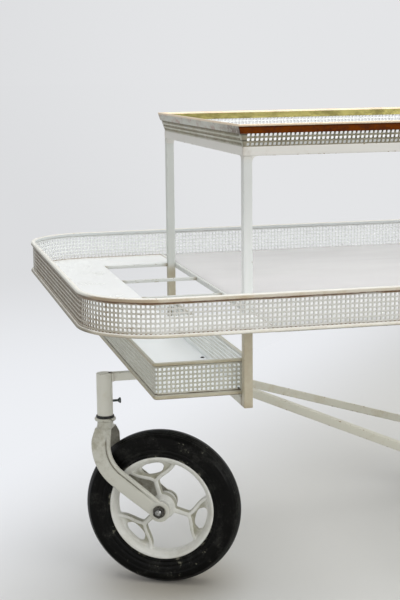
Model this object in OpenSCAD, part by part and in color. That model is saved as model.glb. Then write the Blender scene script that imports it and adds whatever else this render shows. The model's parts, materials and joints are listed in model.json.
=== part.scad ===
// Three-wheeled serving cart: a welded square-bar frame carries a long gallery tray,
// a small upper tray and a bottle tray under three cells, on two wheels and one castor.
// X runs along the cart with the castor at -X, Y across it with the near side at -Y,
// Z up. The origin lies on the floor under the middle of the tray. All sizes are in mm.

/* [Frame] */
// Side of the square bar
bar = 13; // [11:0.5:15]
// Length over the posts
frame_length = 560; // [500:10:640]
// Width over the posts
frame_width = 502; // [470:2:540]
// Height of the upper tray's band at its middle line
overall_height = 733.5; // [690:0.5:800]
// Height of the underside of the cross-member
cross_member_z = 333; // [328:1:345]
// Half the distance between the two braces where they start under the cross-member
brace_start = 17; // [15:0.5:40]

/* [Main tray] */
// Length over the gallery sheet
tray_length = 1030; // [980:10:1160]
// Width over the gallery sheet
tray_width = 718; // [680:2:780]
// Outer radius of the tray's corners
tray_corner = 105; // [70:5:115]
// Height of the tray's floor and glass above the ground
tray_z = 471.5; // [455:0.5:500]
// Height of the gallery's top over the tray's floor
gallery_height = 46.5; // [34:0.5:70]
// Depth of the gallery below the tray's floor
gallery_drop = 7; // [6.5:0.5:10]
// Height of the top rail
rail_height = 7; // [5:0.5:10]
// How far the top rail stands out on each side of the sheet
rail_overhang = 3; // [2:0.5:5]
// Height of the half-round bead along the bottom
bead_height = 8; // [6:0.5:10]

/* [Sheet and glass] */
// Thickness of the steel sheet
sheet = 1.2; // [0.8:0.1:2]
// Thickness of the glass panes
glass = 6; // [4:0.5:6]
// Pitch of the square holes in the gallery and in the bottle tray
hole_pitch = 12.7; // [11:0.1:16]
// Side of those holes
hole_size = 8.4; // [5:0.1:9.5]
// Pitch of the square holes in the upper tray's band
band_pitch = 9.5; // [8.5:0.1:14]
// Side of those holes
band_hole = 6.3; // [4:0.1:7]

/* [Upper tray] */
// Height of the flared band over the upper frame
band_height = 30.5; // [24:0.5:40]
// How far the band leans out at its top
band_flare = 8.5; // [3:0.5:10]
// Depth of the brass channel on the band's edge
channel_depth = 12.5; // [6:0.5:14]
// Thickness of the brass channel
channel_thickness = 4; // [3:0.5:6]

/* [Bottle cells] */
// Reach of the opening in the tray beyond the posts
cell_reach = 113; // [90:1:130]
// Number of cells
cell_count = 3; // [2:1:4]
// Thickness of the bars round and between the cells
cell_bar = 5; // [3:0.5:7]
// Depth of those bars
cell_bar_depth = 5.5; // [4:0.5:20]

/* [Bottle tray] */
// Length of the bottle tray
bottle_tray_length = 135; // [120:1:140]
// Height of the bottle tray with its rim
bottle_tray_height = 54; // [48:1:70]
// Height of its rim
bottle_rim_height = 5.5; // [4:0.5:8]
// How far its rim stands out
bottle_rim_overhang = 4; // [2:0.5:5]
// Height of the half-round bead round its bottom
bottle_bead = 6.5; // [5:0.5:9]
// Thickness of the packing between the cross-member and the tray
bottle_packing = 3.7; // [2:0.1:8]

/* [Castor] */
// Distance from the posts to the swivel axis
castor_reach = 158.6; // [140:0.2:180]
// Direction of the castor, clockwise from +X seen from above
castor_angle = 24.8; // [0:0.1:90]
// Distance of the wheel's axle behind the swivel axis
castor_trail = 92.8; // [85:0.1:100]
// Outer diameter of the head tube
head_tube_d = 25.4; // [24:0.1:30]
// Length of the head tube
head_tube_length = 68; // [60:1:72]
// Wall of the head tube
head_tube_wall = 2; // [1.5:0.1:3]
// Diameter of the castor's stem
stem_d = 12.7; // [11:0.1:14]
// Height of the set screw over the foot of the head tube
set_screw_rise = 22; // [16:0.5:26]
// Diameter of the set screw's shank
set_screw_d = 4; // [3:0.1:5]
// Thickness of the thrust washer
thrust_washer = 3.7; // [2:0.1:5]
// Distance between the fork's blades
fork_gap = 56; // [52:1:64]
// Thickness of a fork blade
blade_thickness = 3; // [2:0.5:4]
// Width of a fork blade
blade_width = 31; // [26:0.5:34]
// Radius of the bend in a fork blade, at its middle
blade_bend = 65; // [60:1:68]
// Slope of the blade's lower part below the horizontal
blade_slope = 37; // [35:0.5:39]
// Diameter of the castor wheel's axle bolt
castor_axle_d = 10; // [8:0.5:12]

/* [Wheels] */
// Diameter of a wheel
wheel_d = 250; // [236:2:256]
// Width of a tyre
tyre_width = 40; // [34:1:44]
// Outer diameter of a rim
rim_d = 170; // [160:2:180]
// Depth of a rim, across its ring
rim_depth = 11; // [8:0.5:12]
// Width of a rim
rim_width = 32; // [26:1:34]
// Width of a hub
hub_width = 44; // [40:1:48]
// Diameter of a hub
hub_d = 36; // [32:1:40]
// Width of a spoke's stem
spoke_width = 9; // [7:0.5:12]
// Direction of the castor wheel's first spoke, counter-clockwise from level
castor_spoke_angle = 104.7; // [0:0.1:120]
// Direction of the rear wheels' first spokes
rear_spoke_angle = 90; // [0:1:120]
// Diameter of the rear axle's ends
rear_axle_d = 12; // [10:0.5:12.5]
// Distance from the posts to the rear wheels' hubs
rear_wheel_offset = 10; // [6:0.5:14]
// Distance from the middle of the right posts back to the rear axle
rear_reach = 44.5; // [30:0.5:60]

/* [Hidden] */
$fn = 64;

// Running clearance of a shaft in its bush, on the radius
running_fit = 0.05;
// Gap between pieces that must not rub
gap = 0.3;
// Reach of a cutting shape past the face that it cuts
over = 1;

post_x = frame_length / 2;
post_y = frame_width / 2;
upper_frame_z = overall_height - band_height - bar;
axle_z = wheel_d / 2;
gallery_bottom = tray_z - gallery_drop;
rail_bottom = tray_z + gallery_height - rail_height;
tray_outline = [tray_length, tray_width, tray_corner];

// The band leans out along its slant, and the brass channel grips its edge
band_angle = atan(band_flare / band_height);
band_slant = norm([band_flare, band_height]);
channel_web = 1.5;
band_sheet_slant = band_slant - channel_web;

// Bars of the opening in the tray's floor
opening_right = -post_x + bar;
opening_left = -post_x - cell_reach;
opening_half = post_y - bar / 2 + cell_bar / 2;
divider_step = (2 * opening_half - cell_bar) / cell_count;
ledge_width = 12;
ledge_thickness = 2;

// The bottle tray rests on packing on the cross-member, between the left posts
bottle_tray_z = cross_member_z + bar + bottle_packing;
bottle_tray_width = frame_width - 2 * bar - 2 * bottle_rim_overhang - 1;
bottle_tray_right = -post_x + bar - 3;
bottle_tray_x = bottle_tray_right - bottle_tray_length / 2;
bottle_corner = 4;
bottle_outline = [bottle_tray_length, bottle_tray_width, bottle_corner];
bottle_rim_z = bottle_tray_z + bottle_tray_height - bottle_rim_height;

// The arm passes under the cross-member in a notch
arm_top = cross_member_z + 5.5;
arm_end = -post_x + bar + 7;
swivel_x = -post_x - castor_reach;
head_tube_z = arm_top - head_tube_length;
head_bore = head_tube_d - 2 * head_tube_wall;
head_cap = 4;
upper_bush = 14;
lower_bush = 30;
set_screw_z = head_tube_z + set_screw_rise;
set_screw_reach = 10;
set_screw_head = 3;
stem_groove = 1.2;

// The crown stands under the head tube on its thrust washer
crown_ring = 5.5;
crown_neck = 5;
crown_ring_d = 34;
crown_neck_d = 25;
crown_top = head_tube_z - gap - thrust_washer - crown_ring - crown_neck;
crown_shoulder = 20;
blade_top = crown_top - crown_shoulder;
fork_outer = fork_gap / 2 + blade_thickness;
boss_d = 34;
lip_width = 7;
lip_rise = 2.5;
nut_flats = 17;
nut_height = 8;
castor_bush_d = 18;

// A fork blade drops from the crown, bends through blade_turn and slopes straight to the axle
blade_turn = 90 - blade_slope;
slope_length = (castor_trail - blade_bend * (1 - cos(blade_turn))) / cos(blade_slope);
bend_top = axle_z + slope_length * sin(blade_slope) + blade_bend * sin(blade_turn);
bend_steps = 16;

// Spokes of a rim: the fork of each spoke holds an eye
eye_length = 36;
eye_height = 17;
ring_inner = rim_d / 2 - rim_depth;
spoke_thickness = 14;
branch_width = 7;
opening_round = 6;
rear_bush_d = 20;
rear_washer_d = 24;
rear_washer = 2;
rear_nut = 9;
rear_hub_y = post_y + rear_wheel_offset + hub_width / 2;
rear_axle_x = post_x - bar / 2 + rear_reach;

function side_length(outline, i) = (i % 2 == 0 ? outline[0] : outline[1]) - 2 * outline[2];
function side_distance(outline, i) = (i % 2 == 0 ? outline[1] : outline[0]) / 2;

// Rows of square holes that fill a field from low to high, centred on its width
module hole_field(width, low, high, pitch, size) {
    columns = floor(width / pitch);
    rows = floor((high - low) / pitch);
    for (column = [0 : columns - 1], row = [0 : rows - 1])
        translate([(column + 0.5 - columns / 2) * pitch, (low + high) / 2 + (row + 0.5 - rows / 2) * pitch])
            square(size, center = true);
}

// Upright perforated sheet along side i of a rounded outline, 0 near, 1 right, 2 far, 3 left
module perforated_side(outline, i, low, high, hole_low) {
    width = side_length(outline, i);
    rotate(90 * i)
        translate([0, sheet - side_distance(outline, i), 0])
            rotate([90, 0, 0])
                linear_extrude(sheet)
                    difference() {
                        translate([-width / 2, low])
                            square([width, high - low]);
                        hole_field(width, hole_low, high, hole_pitch, hole_size);
                    }
}

module at_corner(outline, i) {
    x = outline[0] / 2 - outline[2];
    y = outline[1] / 2 - outline[2];
    translate([i < 2 ? x : -x, i % 3 == 0 ? -y : y, 0])
        rotate(90 * i - 90)
            children();
}

// Perforated quarter ring between side i and the next
module perforated_corner(outline, i, low, high, hole_low) {
    radius = outline[2];
    columns = floor(radius * PI / 2 / hole_pitch);
    rows = floor((high - hole_low) / hole_pitch);
    at_corner(outline, i)
        difference() {
            rotate_extrude(angle = 90)
                translate([radius - sheet, low])
                    square([sheet, high - low]);
            for (column = [0 : columns - 1], row = [0 : rows - 1])
                rotate((column + 0.5) * 90 / columns)
                    translate([radius, 0, (hole_low + high) / 2 + (row + 0.5 - rows / 2) * hole_pitch])
                        cube([4 * sheet, hole_size, hole_size], center = true);
        }
}

// Bar along side i whose profile, outwards and up, is the child
module profile_side(outline, i) {
    rotate(90 * i)
        translate([side_length(outline, i) / 2, -side_distance(outline, i), 0])
            rotate([90, 0, -90])
                linear_extrude(side_length(outline, i))
                    children();
}

module profile_corner(outline, i) {
    at_corner(outline, i)
        rotate_extrude(angle = 90)
            translate([outline[2], 0])
                children();
}

// Rail section: a flat bar with a rounded top, centred on the sheet
module rail_profile() {
    width = sheet + 2 * rail_overhang;
    round_r = 2;
    translate([-sheet - rail_overhang, rail_bottom]) {
        square([width, rail_height - round_r]);
        translate([round_r, 0])
            square([width - 2 * round_r, rail_height]);
        for (x = [round_r, width - round_r])
            translate([x, rail_height - round_r])
                circle(round_r);
    }
}

// Half-round bead on the outside of a sheet
module bead_profile(bottom, height) {
    intersection() {
        translate([0, bottom + height / 2])
            circle(height / 2);
        translate([0, bottom])
            square([height, height]);
    }
}

module rounded_plate(outline) {
    x = outline[0] / 2 - outline[2];
    y = outline[1] / 2 - outline[2];
    square([outline[0], 2 * y], center = true);
    square([2 * x, outline[1]], center = true);
    for (sx = [-x, x], sy = [-y, y])
        translate([sx, sy])
            circle(outline[2]);
}

module post_pair(x, bottom) {
    for (side = [-1, 1])
        translate([x - bar / 2, side * (post_y - bar / 2) - bar / 2, bottom])
            cube([bar, bar, upper_frame_z - bottom]);
}

module left_posts() {
    color("gainsboro")
        post_pair(-post_x + bar / 2, cross_member_z);
}

module right_posts() {
    color("gainsboro")
        post_pair(post_x - bar / 2, axle_z - bar / 2);
}

module upper_frame_sides() {
    color("gainsboro")
        for (side = [-1, 1])
            translate([-post_x, side * (post_y - bar / 2) - bar / 2, upper_frame_z])
                cube([frame_length, bar, bar]);
}

module upper_frame_ends() {
    color("gainsboro")
        for (side = [-1, 1])
            translate([side * (post_x - bar / 2) - bar / 2, -post_y + bar, upper_frame_z])
                cube([bar, frame_width - 2 * bar, bar]);
}

// Moves a shape drawn along the slant to the upper frame's side i, outer face at the frame's edge
module on_band(i) {
    rotate(90 * i)
        translate([0, -(i % 2 == 0 ? post_y : post_x), upper_frame_z + bar])
            rotate([90 + band_angle, 0, 0])
                children();
}

module band_sheet(i, shortening) {
    half = (i % 2 == 0 ? post_x : post_y) - shortening;
    spread = band_sheet_slant * sin(band_angle);
    on_band(i)
        translate([0, 0, -sheet])
            linear_extrude(sheet)
                difference() {
                    polygon([[-half, 0], [half, 0], [half + spread, band_sheet_slant],
                        [-half - spread, band_sheet_slant]]);
                    hole_field(2 * half, 0, band_slant - channel_depth, band_pitch, band_hole);
                }
}

module upper_band_sides() {
    color("gainsboro")
        for (i = [0, 2])
            band_sheet(i, 0);
}

module upper_band_ends() {
    color("gainsboro")
        for (i = [1, 3])
            band_sheet(i, sheet + 0.2);
}

// Brass channel along side i, mitred at both ends
module brass_channel(i) {
    half = i % 2 == 0 ? post_x : post_y;
    distance = i % 2 == 0 ? post_y : post_x;
    reach = 3 * band_flare + channel_thickness;
    intersection() {
        on_band(i)
            rotate([0, 90, 0])
                translate([0, 0, -half - reach])
                    linear_extrude(2 * (half + reach))
                        difference() {
                            translate([(sheet - channel_thickness) / 2, band_slant - channel_depth])
                                square([channel_thickness, channel_depth]);
                            translate([0, band_slant - channel_depth - over])
                                square([sheet, channel_depth - channel_web + over]);
                        }
        rotate(90 * i)
            linear_extrude(2 * overall_height)
                polygon([[-half + reach, -distance + reach], [half - reach, -distance + reach],
                    [half + reach, -distance - reach], [-half - reach, -distance - reach]]);
    }
}

module brass_channel_sides() {
    color("darkkhaki")
        for (i = [0, 2])
            brass_channel(i);
}

module brass_channel_ends() {
    color("darkkhaki")
        for (i = [1, 3])
            brass_channel(i);
}

module upper_glass() {
    edge = sheet / cos(band_angle) + gap;
    color("lightcyan", 0.5)
        translate([-post_x + edge, -post_y + edge, upper_frame_z + bar])
            cube([frame_length - 2 * edge, frame_width - 2 * edge, glass]);
}

module gallery_sides() {
    color("whitesmoke")
        for (i = [0, 2])
            perforated_side(tray_outline, i, gallery_bottom, rail_bottom, gallery_bottom + bead_height);
}

module gallery_ends() {
    color("whitesmoke")
        for (i = [1, 3])
            perforated_side(tray_outline, i, gallery_bottom, rail_bottom, gallery_bottom + bead_height);
}

module gallery_corners() {
    color("whitesmoke")
        for (i = [0 : 3])
            perforated_corner(tray_outline, i, gallery_bottom, rail_bottom, gallery_bottom + bead_height);
}

module rail_bars() {
    color("tan")
        for (i = [0 : 3])
            profile_side(tray_outline, i)
                rail_profile();
}

module rail_corners() {
    color("tan")
        for (i = [0 : 3])
            profile_corner(tray_outline, i)
                rail_profile();
}

module bead_bars() {
    color("gainsboro")
        for (i = [0 : 3])
            profile_side(tray_outline, i)
                bead_profile(gallery_bottom, bead_height);
}

module bead_corners() {
    color("gainsboro")
        for (i = [0 : 3])
            profile_corner(tray_outline, i)
                bead_profile(gallery_bottom, bead_height);
}

// Floor sheet from the bearer beside the posts to the gallery, for the right end of the tray
module end_plate() {
    inner = [tray_length - 2 * sheet, tray_width - 2 * sheet, tray_corner - sheet];
    difference() {
        rounded_plate(inner);
        translate([-tray_length, -tray_width])
            square([tray_length + post_x - bar, 2 * tray_width]);
        for (side = [-1, 1])
            translate([post_x - bar - over, side * (post_y - bar / 2) - bar / 2])
                square([bar + over, bar]);
    }
}

module floor_sheet_left() {
    color("white")
        translate([0, 0, tray_z - sheet])
            linear_extrude(sheet)
                difference() {
                    mirror([1, 0])
                        end_plate();
                    translate([opening_left, -opening_half])
                        square([cell_reach + bar + over, 2 * opening_half]);
                }
}

module floor_sheet_right() {
    color("white")
        translate([0, 0, tray_z - sheet])
            linear_extrude(sheet)
                end_plate();
}

module tray_glass() {
    half_x = post_x - bar - cell_bar - gap;
    half_y = tray_width / 2 - sheet - gap;
    color("lightcyan", 0.5)
        translate([-half_x, -half_y, tray_z - glass])
            cube([2 * half_x, 2 * half_y, glass]);
}

// Angle bar across the tray beside each pair of posts, with a ledge under the glass
module glass_bearers() {
    length = tray_width - 2 * sheet;
    color("gainsboro")
        for (side = [0, 1])
            mirror([side, 0, 0])
                translate([-post_x + bar, length / 2, 0])
                    rotate([90, 0, 0])
                        linear_extrude(length) {
                            translate([0, tray_z - glass - ledge_thickness]) {
                                square([cell_bar, glass + ledge_thickness]);
                                square([cell_bar + ledge_width, ledge_thickness]);
                            }
                        }
}

module opening_bearer() {
    length = tray_width - 2 * sheet;
    color("gainsboro")
        translate([opening_left - cell_bar, -length / 2, tray_z - cell_bar_depth])
            cube([cell_bar, length, cell_bar_depth - sheet]);
}

module cell_dividers() {
    color("gainsboro")
        for (k = [0 : cell_count])
            translate([opening_left, -opening_half + k * divider_step, tray_z - cell_bar_depth])
                cube([cell_reach + (k > 0 && k < cell_count ? bar : 0), cell_bar, cell_bar_depth]);
}

module glass_ledges() {
    half = post_x - bar - cell_bar - ledge_width;
    color("gainsboro")
        for (side = [0, 1])
            mirror([0, side, 0])
                translate([-half, -tray_width / 2 + sheet, tray_z - glass - ledge_thickness])
                    cube([2 * half, ledge_width, ledge_thickness]);
}

module at_bottle_tray() {
    translate([bottle_tray_x, 0, 0])
        children();
}

module bottle_tray_floor() {
    color("white")
        at_bottle_tray()
            translate([0, 0, bottle_tray_z])
                linear_extrude(sheet)
                    rounded_plate([bottle_tray_length - 2 * sheet, bottle_tray_width - 2 * sheet,
                        bottle_corner - sheet]);
}

module bottle_tray_sides() {
    color("whitesmoke")
        at_bottle_tray()
            for (i = [0, 2])
                perforated_side(bottle_outline, i, bottle_tray_z, bottle_rim_z, bottle_tray_z + bottle_bead);
}

module bottle_tray_ends() {
    color("whitesmoke")
        at_bottle_tray()
            for (i = [1, 3]) {
                perforated_side(bottle_outline, i, bottle_tray_z, bottle_rim_z, bottle_tray_z + bottle_bead);
                for (k = [i - 1, i])
                    profile_corner(bottle_outline, k)
                        translate([-sheet, bottle_tray_z])
                            square([sheet, bottle_rim_z - bottle_tray_z]);
            }
}

module bottle_tray_rim() {
    color("tan")
        at_bottle_tray()
            for (i = [0 : 3]) {
                profile_side(bottle_outline, i)
                    translate([-sheet, bottle_rim_z])
                        square([sheet + bottle_rim_overhang, bottle_rim_height]);
                profile_corner(bottle_outline, i)
                    translate([-sheet, bottle_rim_z])
                        square([sheet + bottle_rim_overhang, bottle_rim_height]);
            }
}

module bottle_tray_bead() {
    color("gainsboro")
        at_bottle_tray()
            for (i = [0 : 3]) {
                profile_side(bottle_outline, i)
                    bead_profile(bottle_tray_z, bottle_bead);
                profile_corner(bottle_outline, i)
                    bead_profile(bottle_tray_z, bottle_bead);
            }
}

// Small blocks that hold the bottle tray's sides to the posts, above the bead, and carry it on the cross-member
module bottle_tray_spacers() {
    length = 8;
    height = 10;
    packing_width = 10;
    screw_y = 30;
    inner = bottle_tray_width / 2;
    color("gainsboro")
        for (side = [0, 1])
            mirror([0, side, 0]) {
                translate([-post_x, inner, bottle_tray_z + bottle_bead])
                    cube([length, post_y - bar - inner, height]);
                for (y = [screw_y - packing_width / 2, inner - sheet - packing_width])
                    translate([-post_x, y, bottle_tray_z - bottle_packing])
                        cube([length, packing_width, bottle_packing]);
            }
}

module cross_member() {
    color("gainsboro")
        translate([-post_x, -post_y + bar, cross_member_z])
            cube([bar, frame_width - 2 * bar, bar]);
}

module castor_arm() {
    color("gainsboro")
        difference() {
            translate([swivel_x, -bar / 2, arm_top - bar])
                cube([arm_end - swivel_x, bar, bar]);
            translate([swivel_x, 0, head_tube_z])
                cylinder(h = head_tube_length + over, d = head_tube_d);
            translate([-post_x, -bar, cross_member_z])
                cube([bar, 2 * bar, bar]);
        }
}

module head_tube() {
    color("gainsboro")
        translate([swivel_x, 0, 0])
            difference() {
                translate([0, 0, head_tube_z])
                    cylinder(h = head_tube_length, d = head_tube_d);
                translate([0, 0, head_tube_z - over])
                    cylinder(h = head_tube_length + 2 * over, d = head_bore);
                translate([0, 0, set_screw_z])
                    rotate([0, 90, 0])
                        cylinder(h = head_tube_d, d = set_screw_d);
            }
}

module head_tube_cap() {
    color("gainsboro")
        translate([swivel_x, 0, arm_top - head_cap])
            cylinder(h = head_cap, d = head_bore);
}

// Plain bearings in both ends of the head tube; the set screw passes through the lower one
module stem_bushes() {
    color("peru")
        translate([swivel_x, 0, 0])
            for (span = [[head_tube_z, lower_bush], [arm_top - head_cap - upper_bush, upper_bush]])
                difference() {
                    translate([0, 0, span[0]])
                        cylinder(h = span[1], d = head_bore);
                    translate([0, 0, span[0] - over])
                        cylinder(h = span[1] + 2 * over, r = stem_d / 2 + running_fit);
                    translate([0, 0, set_screw_z])
                        rotate([0, 90, 0])
                            cylinder(h = head_tube_d, d = set_screw_d);
                }
}

// Set screw from the right, with its tip in the groove of the stem
module set_screw() {
    tip = stem_d / 2 - stem_groove + gap;
    head_at = head_tube_d / 2 + set_screw_reach;
    color("silver")
        translate([swivel_x, 0, set_screw_z])
            rotate([0, 90, 0]) {
                translate([0, 0, tip])
                    cylinder(h = head_at - tip, d = set_screw_d);
                translate([0, 0, head_at])
                    cylinder(h = set_screw_head, d = 2.5 * set_screw_d);
            }
}

// Brace from under the middle of the cross-member to the rear axle, cut flush at both ends
module brace(side) {
    start = [-post_x + bar / 2, side * brace_start, cross_member_z - 0.58 * bar];
    end = [post_x - bar, side * (post_y - bar / 2), axle_z];
    span = end - start;
    level = norm([span[0], span[1]]);
    color("gainsboro")
        intersection() {
            translate(start)
                rotate([0, -atan2(span[2], level), atan2(span[1], span[0])])
                    translate([-2 * bar, -bar / 2, -bar / 2])
                        cube([norm(span) + 4 * bar, bar, bar]);
            translate([-post_x, -post_y, 0])
                cube([frame_length - bar, frame_width, cross_member_z]);
        }
}

module brace_near() {
    brace(-1);
}

module brace_far() {
    brace(1);
}

// Short bars that carry the rear axle behind the right posts' feet
module rear_arms() {
    color("gainsboro")
        for (side = [-1, 1])
            translate([post_x, side * (post_y - bar / 2) - bar / 2, axle_z - bar / 2])
                cube([rear_reach - bar, bar, bar]);
}

// Square bar behind the right posts with turned ends for the wheels
module rear_axle() {
    reach = rear_wheel_offset + hub_width + gap + rear_washer + rear_nut;
    color("gainsboro")
        translate([rear_axle_x, 0, axle_z]) {
            translate([-bar / 2, -post_y, -bar / 2])
                cube([bar, frame_width, bar]);
            for (side = [-1, 1])
                rotate([side * 90, 0, 0])
                    translate([0, 0, post_y - over])
                        cylinder(h = reach - 1 + over, d = rear_axle_d);
        }
}

// Castor parts are drawn with the swivel axis on Z and the wheel behind it along X
module at_castor() {
    translate([swivel_x, 0, 0])
        rotate(-castor_angle)
            children();
}

module castor_stem() {
    top = arm_top - head_cap - 1;
    chamfer = 1.5;
    color("silver")
        at_castor()
            difference() {
                union() {
                    translate([0, 0, crown_top - blade_thickness])
                        cylinder(h = top - chamfer - crown_top + blade_thickness, d = stem_d);
                    translate([0, 0, top - chamfer])
                        cylinder(h = chamfer, d1 = stem_d, d2 = stem_d - 2 * chamfer);
                }
                translate([0, 0, set_screw_z - 0.75 * set_screw_d])
                    difference() {
                        cylinder(h = 1.5 * set_screw_d, d = stem_d + over);
                        translate([0, 0, -over])
                            cylinder(h = 1.5 * set_screw_d + 2 * over, d = stem_d - 2 * stem_groove);
                    }
            }
}

module thrust_washer_ring() {
    color("dimgray")
        at_castor()
            translate([0, 0, crown_top + crown_neck + crown_ring])
                difference() {
                    cylinder(h = thrust_washer, d = crown_ring_d - 5);
                    translate([0, 0, -over])
                        cylinder(h = thrust_washer + 2 * over, d = stem_d);
                }
}

// Shape with two rounded upper corners
module arch_profile(half, top, round_r) {
    translate([-half, blade_top - over])
        square([2 * half, top - round_r - blade_top + over]);
    translate([-half + round_r, blade_top - over])
        square([2 * (half - round_r), top - blade_top + over]);
    for (x = [round_r - half, half - round_r])
        translate([x, top - round_r])
            circle(round_r);
}

// Bent bridge that joins the blades, with the turned neck and ring above it
module fork_crown() {
    shoulder_r = 17;
    color("gainsboro")
        at_castor()
            difference() {
                union() {
                    translate([-blade_width / 2, 0, 0])
                        rotate([90, 0, 90])
                            linear_extrude(blade_width)
                                difference() {
                                    arch_profile(fork_outer, crown_top, shoulder_r);
                                    arch_profile(fork_gap / 2, crown_top - blade_thickness,
                                        shoulder_r - blade_thickness);
                                    translate([-2 * fork_outer, blade_top - 4 * fork_outer])
                                        square(4 * fork_outer);
                                }
                    translate([0, 0, crown_top])
                        cylinder(h = crown_neck, d = crown_neck_d);
                    translate([0, 0, crown_top + crown_neck])
                        cylinder(h = crown_ring, d = crown_ring_d);
                }
                cylinder(h = head_tube_z, d = stem_d);
            }
}

// Edge of a fork blade, at a distance from its middle line towards the inside of the bend
function blade_edge(distance) = concat(
    [[distance, blade_top]],
    [for (k = [0 : bend_steps]) [blade_bend, bend_top] - (blade_bend - distance)
        * [cos(k * blade_turn / bend_steps), sin(k * blade_turn / bend_steps)]],
    [[castor_trail, axle_z] + distance * [sin(blade_slope), cos(blade_slope)]]);
function reversed(points) = [for (k = [len(points) - 1 : -1 : 0]) points[k]];

module blade_strip(near_edge, far_edge) {
    polygon(concat(blade_edge(near_edge), reversed(blade_edge(far_edge))));
}

module fork_blade(side) {
    color("gainsboro")
        at_castor()
            mirror([0, side, 0])
                translate([0, -fork_gap / 2, 0])
                    rotate([90, 0, 0])
                        difference() {
                            union() {
                                linear_extrude(blade_thickness) {
                                    blade_strip(-blade_width / 2, blade_width / 2);
                                    translate([castor_trail, axle_z])
                                        circle(d = boss_d);
                                }
                                linear_extrude(blade_thickness + lip_rise)
                                    difference() {
                                        blade_strip(blade_width / 2 - lip_width, blade_width / 2);
                                        translate([castor_trail, axle_z])
                                            circle(d = boss_d);
                                    }
                            }
                            translate([castor_trail, axle_z, -over])
                                cylinder(h = blade_thickness + 2 * over, d = castor_axle_d);
                        }
}

module fork_blade_near() {
    fork_blade(0);
}

module fork_blade_far() {
    fork_blade(1);
}

module at_castor_axle() {
    at_castor()
        translate([castor_trail, 0, axle_z])
            rotate([90, 0, 0])
                children();
}

// Axle bolt with its head on the far side
module castor_axle() {
    length = 2 * fork_outer + nut_height + 2;
    color("silver")
        at_castor_axle() {
            translate([0, 0, -fork_outer])
                cylinder(h = length, d = castor_axle_d);
            translate([0, 0, -fork_outer - nut_height])
                cylinder(h = nut_height, d = nut_flats / cos(30), $fn = 6);
        }
}

module castor_axle_nut() {
    color("dimgray")
        at_castor_axle()
            translate([0, 0, fork_outer])
                difference() {
                    cylinder(h = nut_height, d = nut_flats / cos(30), $fn = 6);
                    translate([0, 0, -over])
                        cylinder(h = nut_height + 2 * over, d = castor_axle_d, $fn = 64);
                }
}

// Sleeves between the blades and the hub
module castor_spacers() {
    length = (fork_gap - hub_width) / 2 - gap;
    color("silver")
        at_castor_axle()
            for (low = [-fork_gap / 2, fork_gap / 2 - length])
                translate([0, 0, low])
                    difference() {
                        cylinder(h = length, d = castor_bush_d);
                        translate([0, 0, -over])
                            cylinder(h = length + 2 * over, d = castor_axle_d);
                    }
}

// Face of a rim between hub and ring: three forked spokes, each with an eye in its fork
module spoke_face() {
    eye_r = ring_inner - eye_height / 2 + 1;
    offset(r = opening_round)
        offset(delta = -opening_round)
            difference() {
                circle(ring_inner + 1);
                circle(hub_d / 2 + 2);
                for (k = [0 : 2])
                    rotate(120 * k)
                        spoke_outline(eye_r);
            }
}

// One spoke: a stem that opens into two branches round the eye
module spoke_outline(eye_r) {
    half = eye_length / 2 + branch_width;
    fork_r = eye_r - eye_height / 2 - branch_width;
    edge = [[fork_r - spoke_width / 2, spoke_width / 2], [fork_r + 1, 0.55 * half],
        [fork_r + branch_width - 1, 0.85 * half], [eye_r, half + 1], [rim_d / 2, half + branch_width]];
    for (side = [0, 1])
        mirror([0, side])
            polygon([[0, 0], [0, spoke_width / 2], each edge, [rim_d / 2, 0]]);
}

module eye_outline(eye_r) {
    for (side = [-1, 1])
        translate([eye_r, side * (eye_length - eye_height) / 2])
            circle(d = eye_height);
    translate([eye_r - eye_height / 2, -(eye_length - eye_height) / 2])
        square([eye_height, eye_length - eye_height]);
}

// Cast rim with its axis on Z, mid-plane at zero
module rim(bush_d) {
    eye_r = ring_inner - eye_height / 2 - 1;
    color("lightgray")
        difference() {
            union() {
                translate([0, 0, -spoke_thickness / 2])
                    linear_extrude(spoke_thickness)
                        difference() {
                            circle(ring_inner + rim_depth / 2);
                            spoke_face();
                            for (k = [0 : 2])
                                rotate(120 * k)
                                    eye_outline(eye_r);
                        }
                rotate_extrude()
                    rim_profile();
                translate([0, 0, -hub_width / 2])
                    cylinder(h = hub_width, d = hub_d);
            }
            translate([0, 0, -hub_width])
                cylinder(h = 2 * hub_width, d = bush_d);
        }
}

// Ring section with sloping shoulders on its inside
module rim_profile() {
    half = rim_width / 2;
    outer = rim_d / 2;
    polygon([[ring_inner, -half / 2], [ring_inner + rim_depth / 3, -half], [outer, -half],
        [outer, half], [ring_inner + rim_depth / 3, half], [ring_inner, half / 2]]);
}

// Solid tyre with a crowned tread and two grooves in each side
module tyre() {
    half = tyre_width / 2;
    crown_r = 28;
    groove = 1.2;
    color("#181818")
        rotate_extrude()
            difference() {
                intersection() {
                    translate([rim_d / 2, -half])
                        square([(wheel_d - rim_d) / 2, tyre_width]);
                    union() {
                        translate([wheel_d / 2 - crown_r, 0])
                            circle(crown_r);
                        translate([rim_d / 2, -half])
                            square([wheel_d / 2 - crown_r - rim_d / 2, tyre_width]);
                    }
                }
                for (side = [-half, half], place = [0.14, 0.4])
                    translate([rim_d / 2 + place * (wheel_d - rim_d) / 2, side])
                        circle(groove);
            }
}

module bush(outer_d, shaft_d) {
    color("peru")
        difference() {
            translate([0, 0, -hub_width / 2])
                cylinder(h = hub_width, d = outer_d);
            translate([0, 0, -hub_width])
                cylinder(h = 2 * hub_width, r = shaft_d / 2 + running_fit);
        }
}

module castor_rim() {
    at_castor_axle()
        rotate(castor_spoke_angle)
            rim(castor_bush_d);
}

module castor_tyre() {
    at_castor_axle()
        tyre();
}

module castor_wheel_bush() {
    at_castor_axle()
        bush(castor_bush_d, castor_axle_d);
}

module at_rear_wheel(side) {
    translate([rear_axle_x, side * rear_hub_y, axle_z])
        rotate([90, 0, 0])
            children();
}

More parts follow.
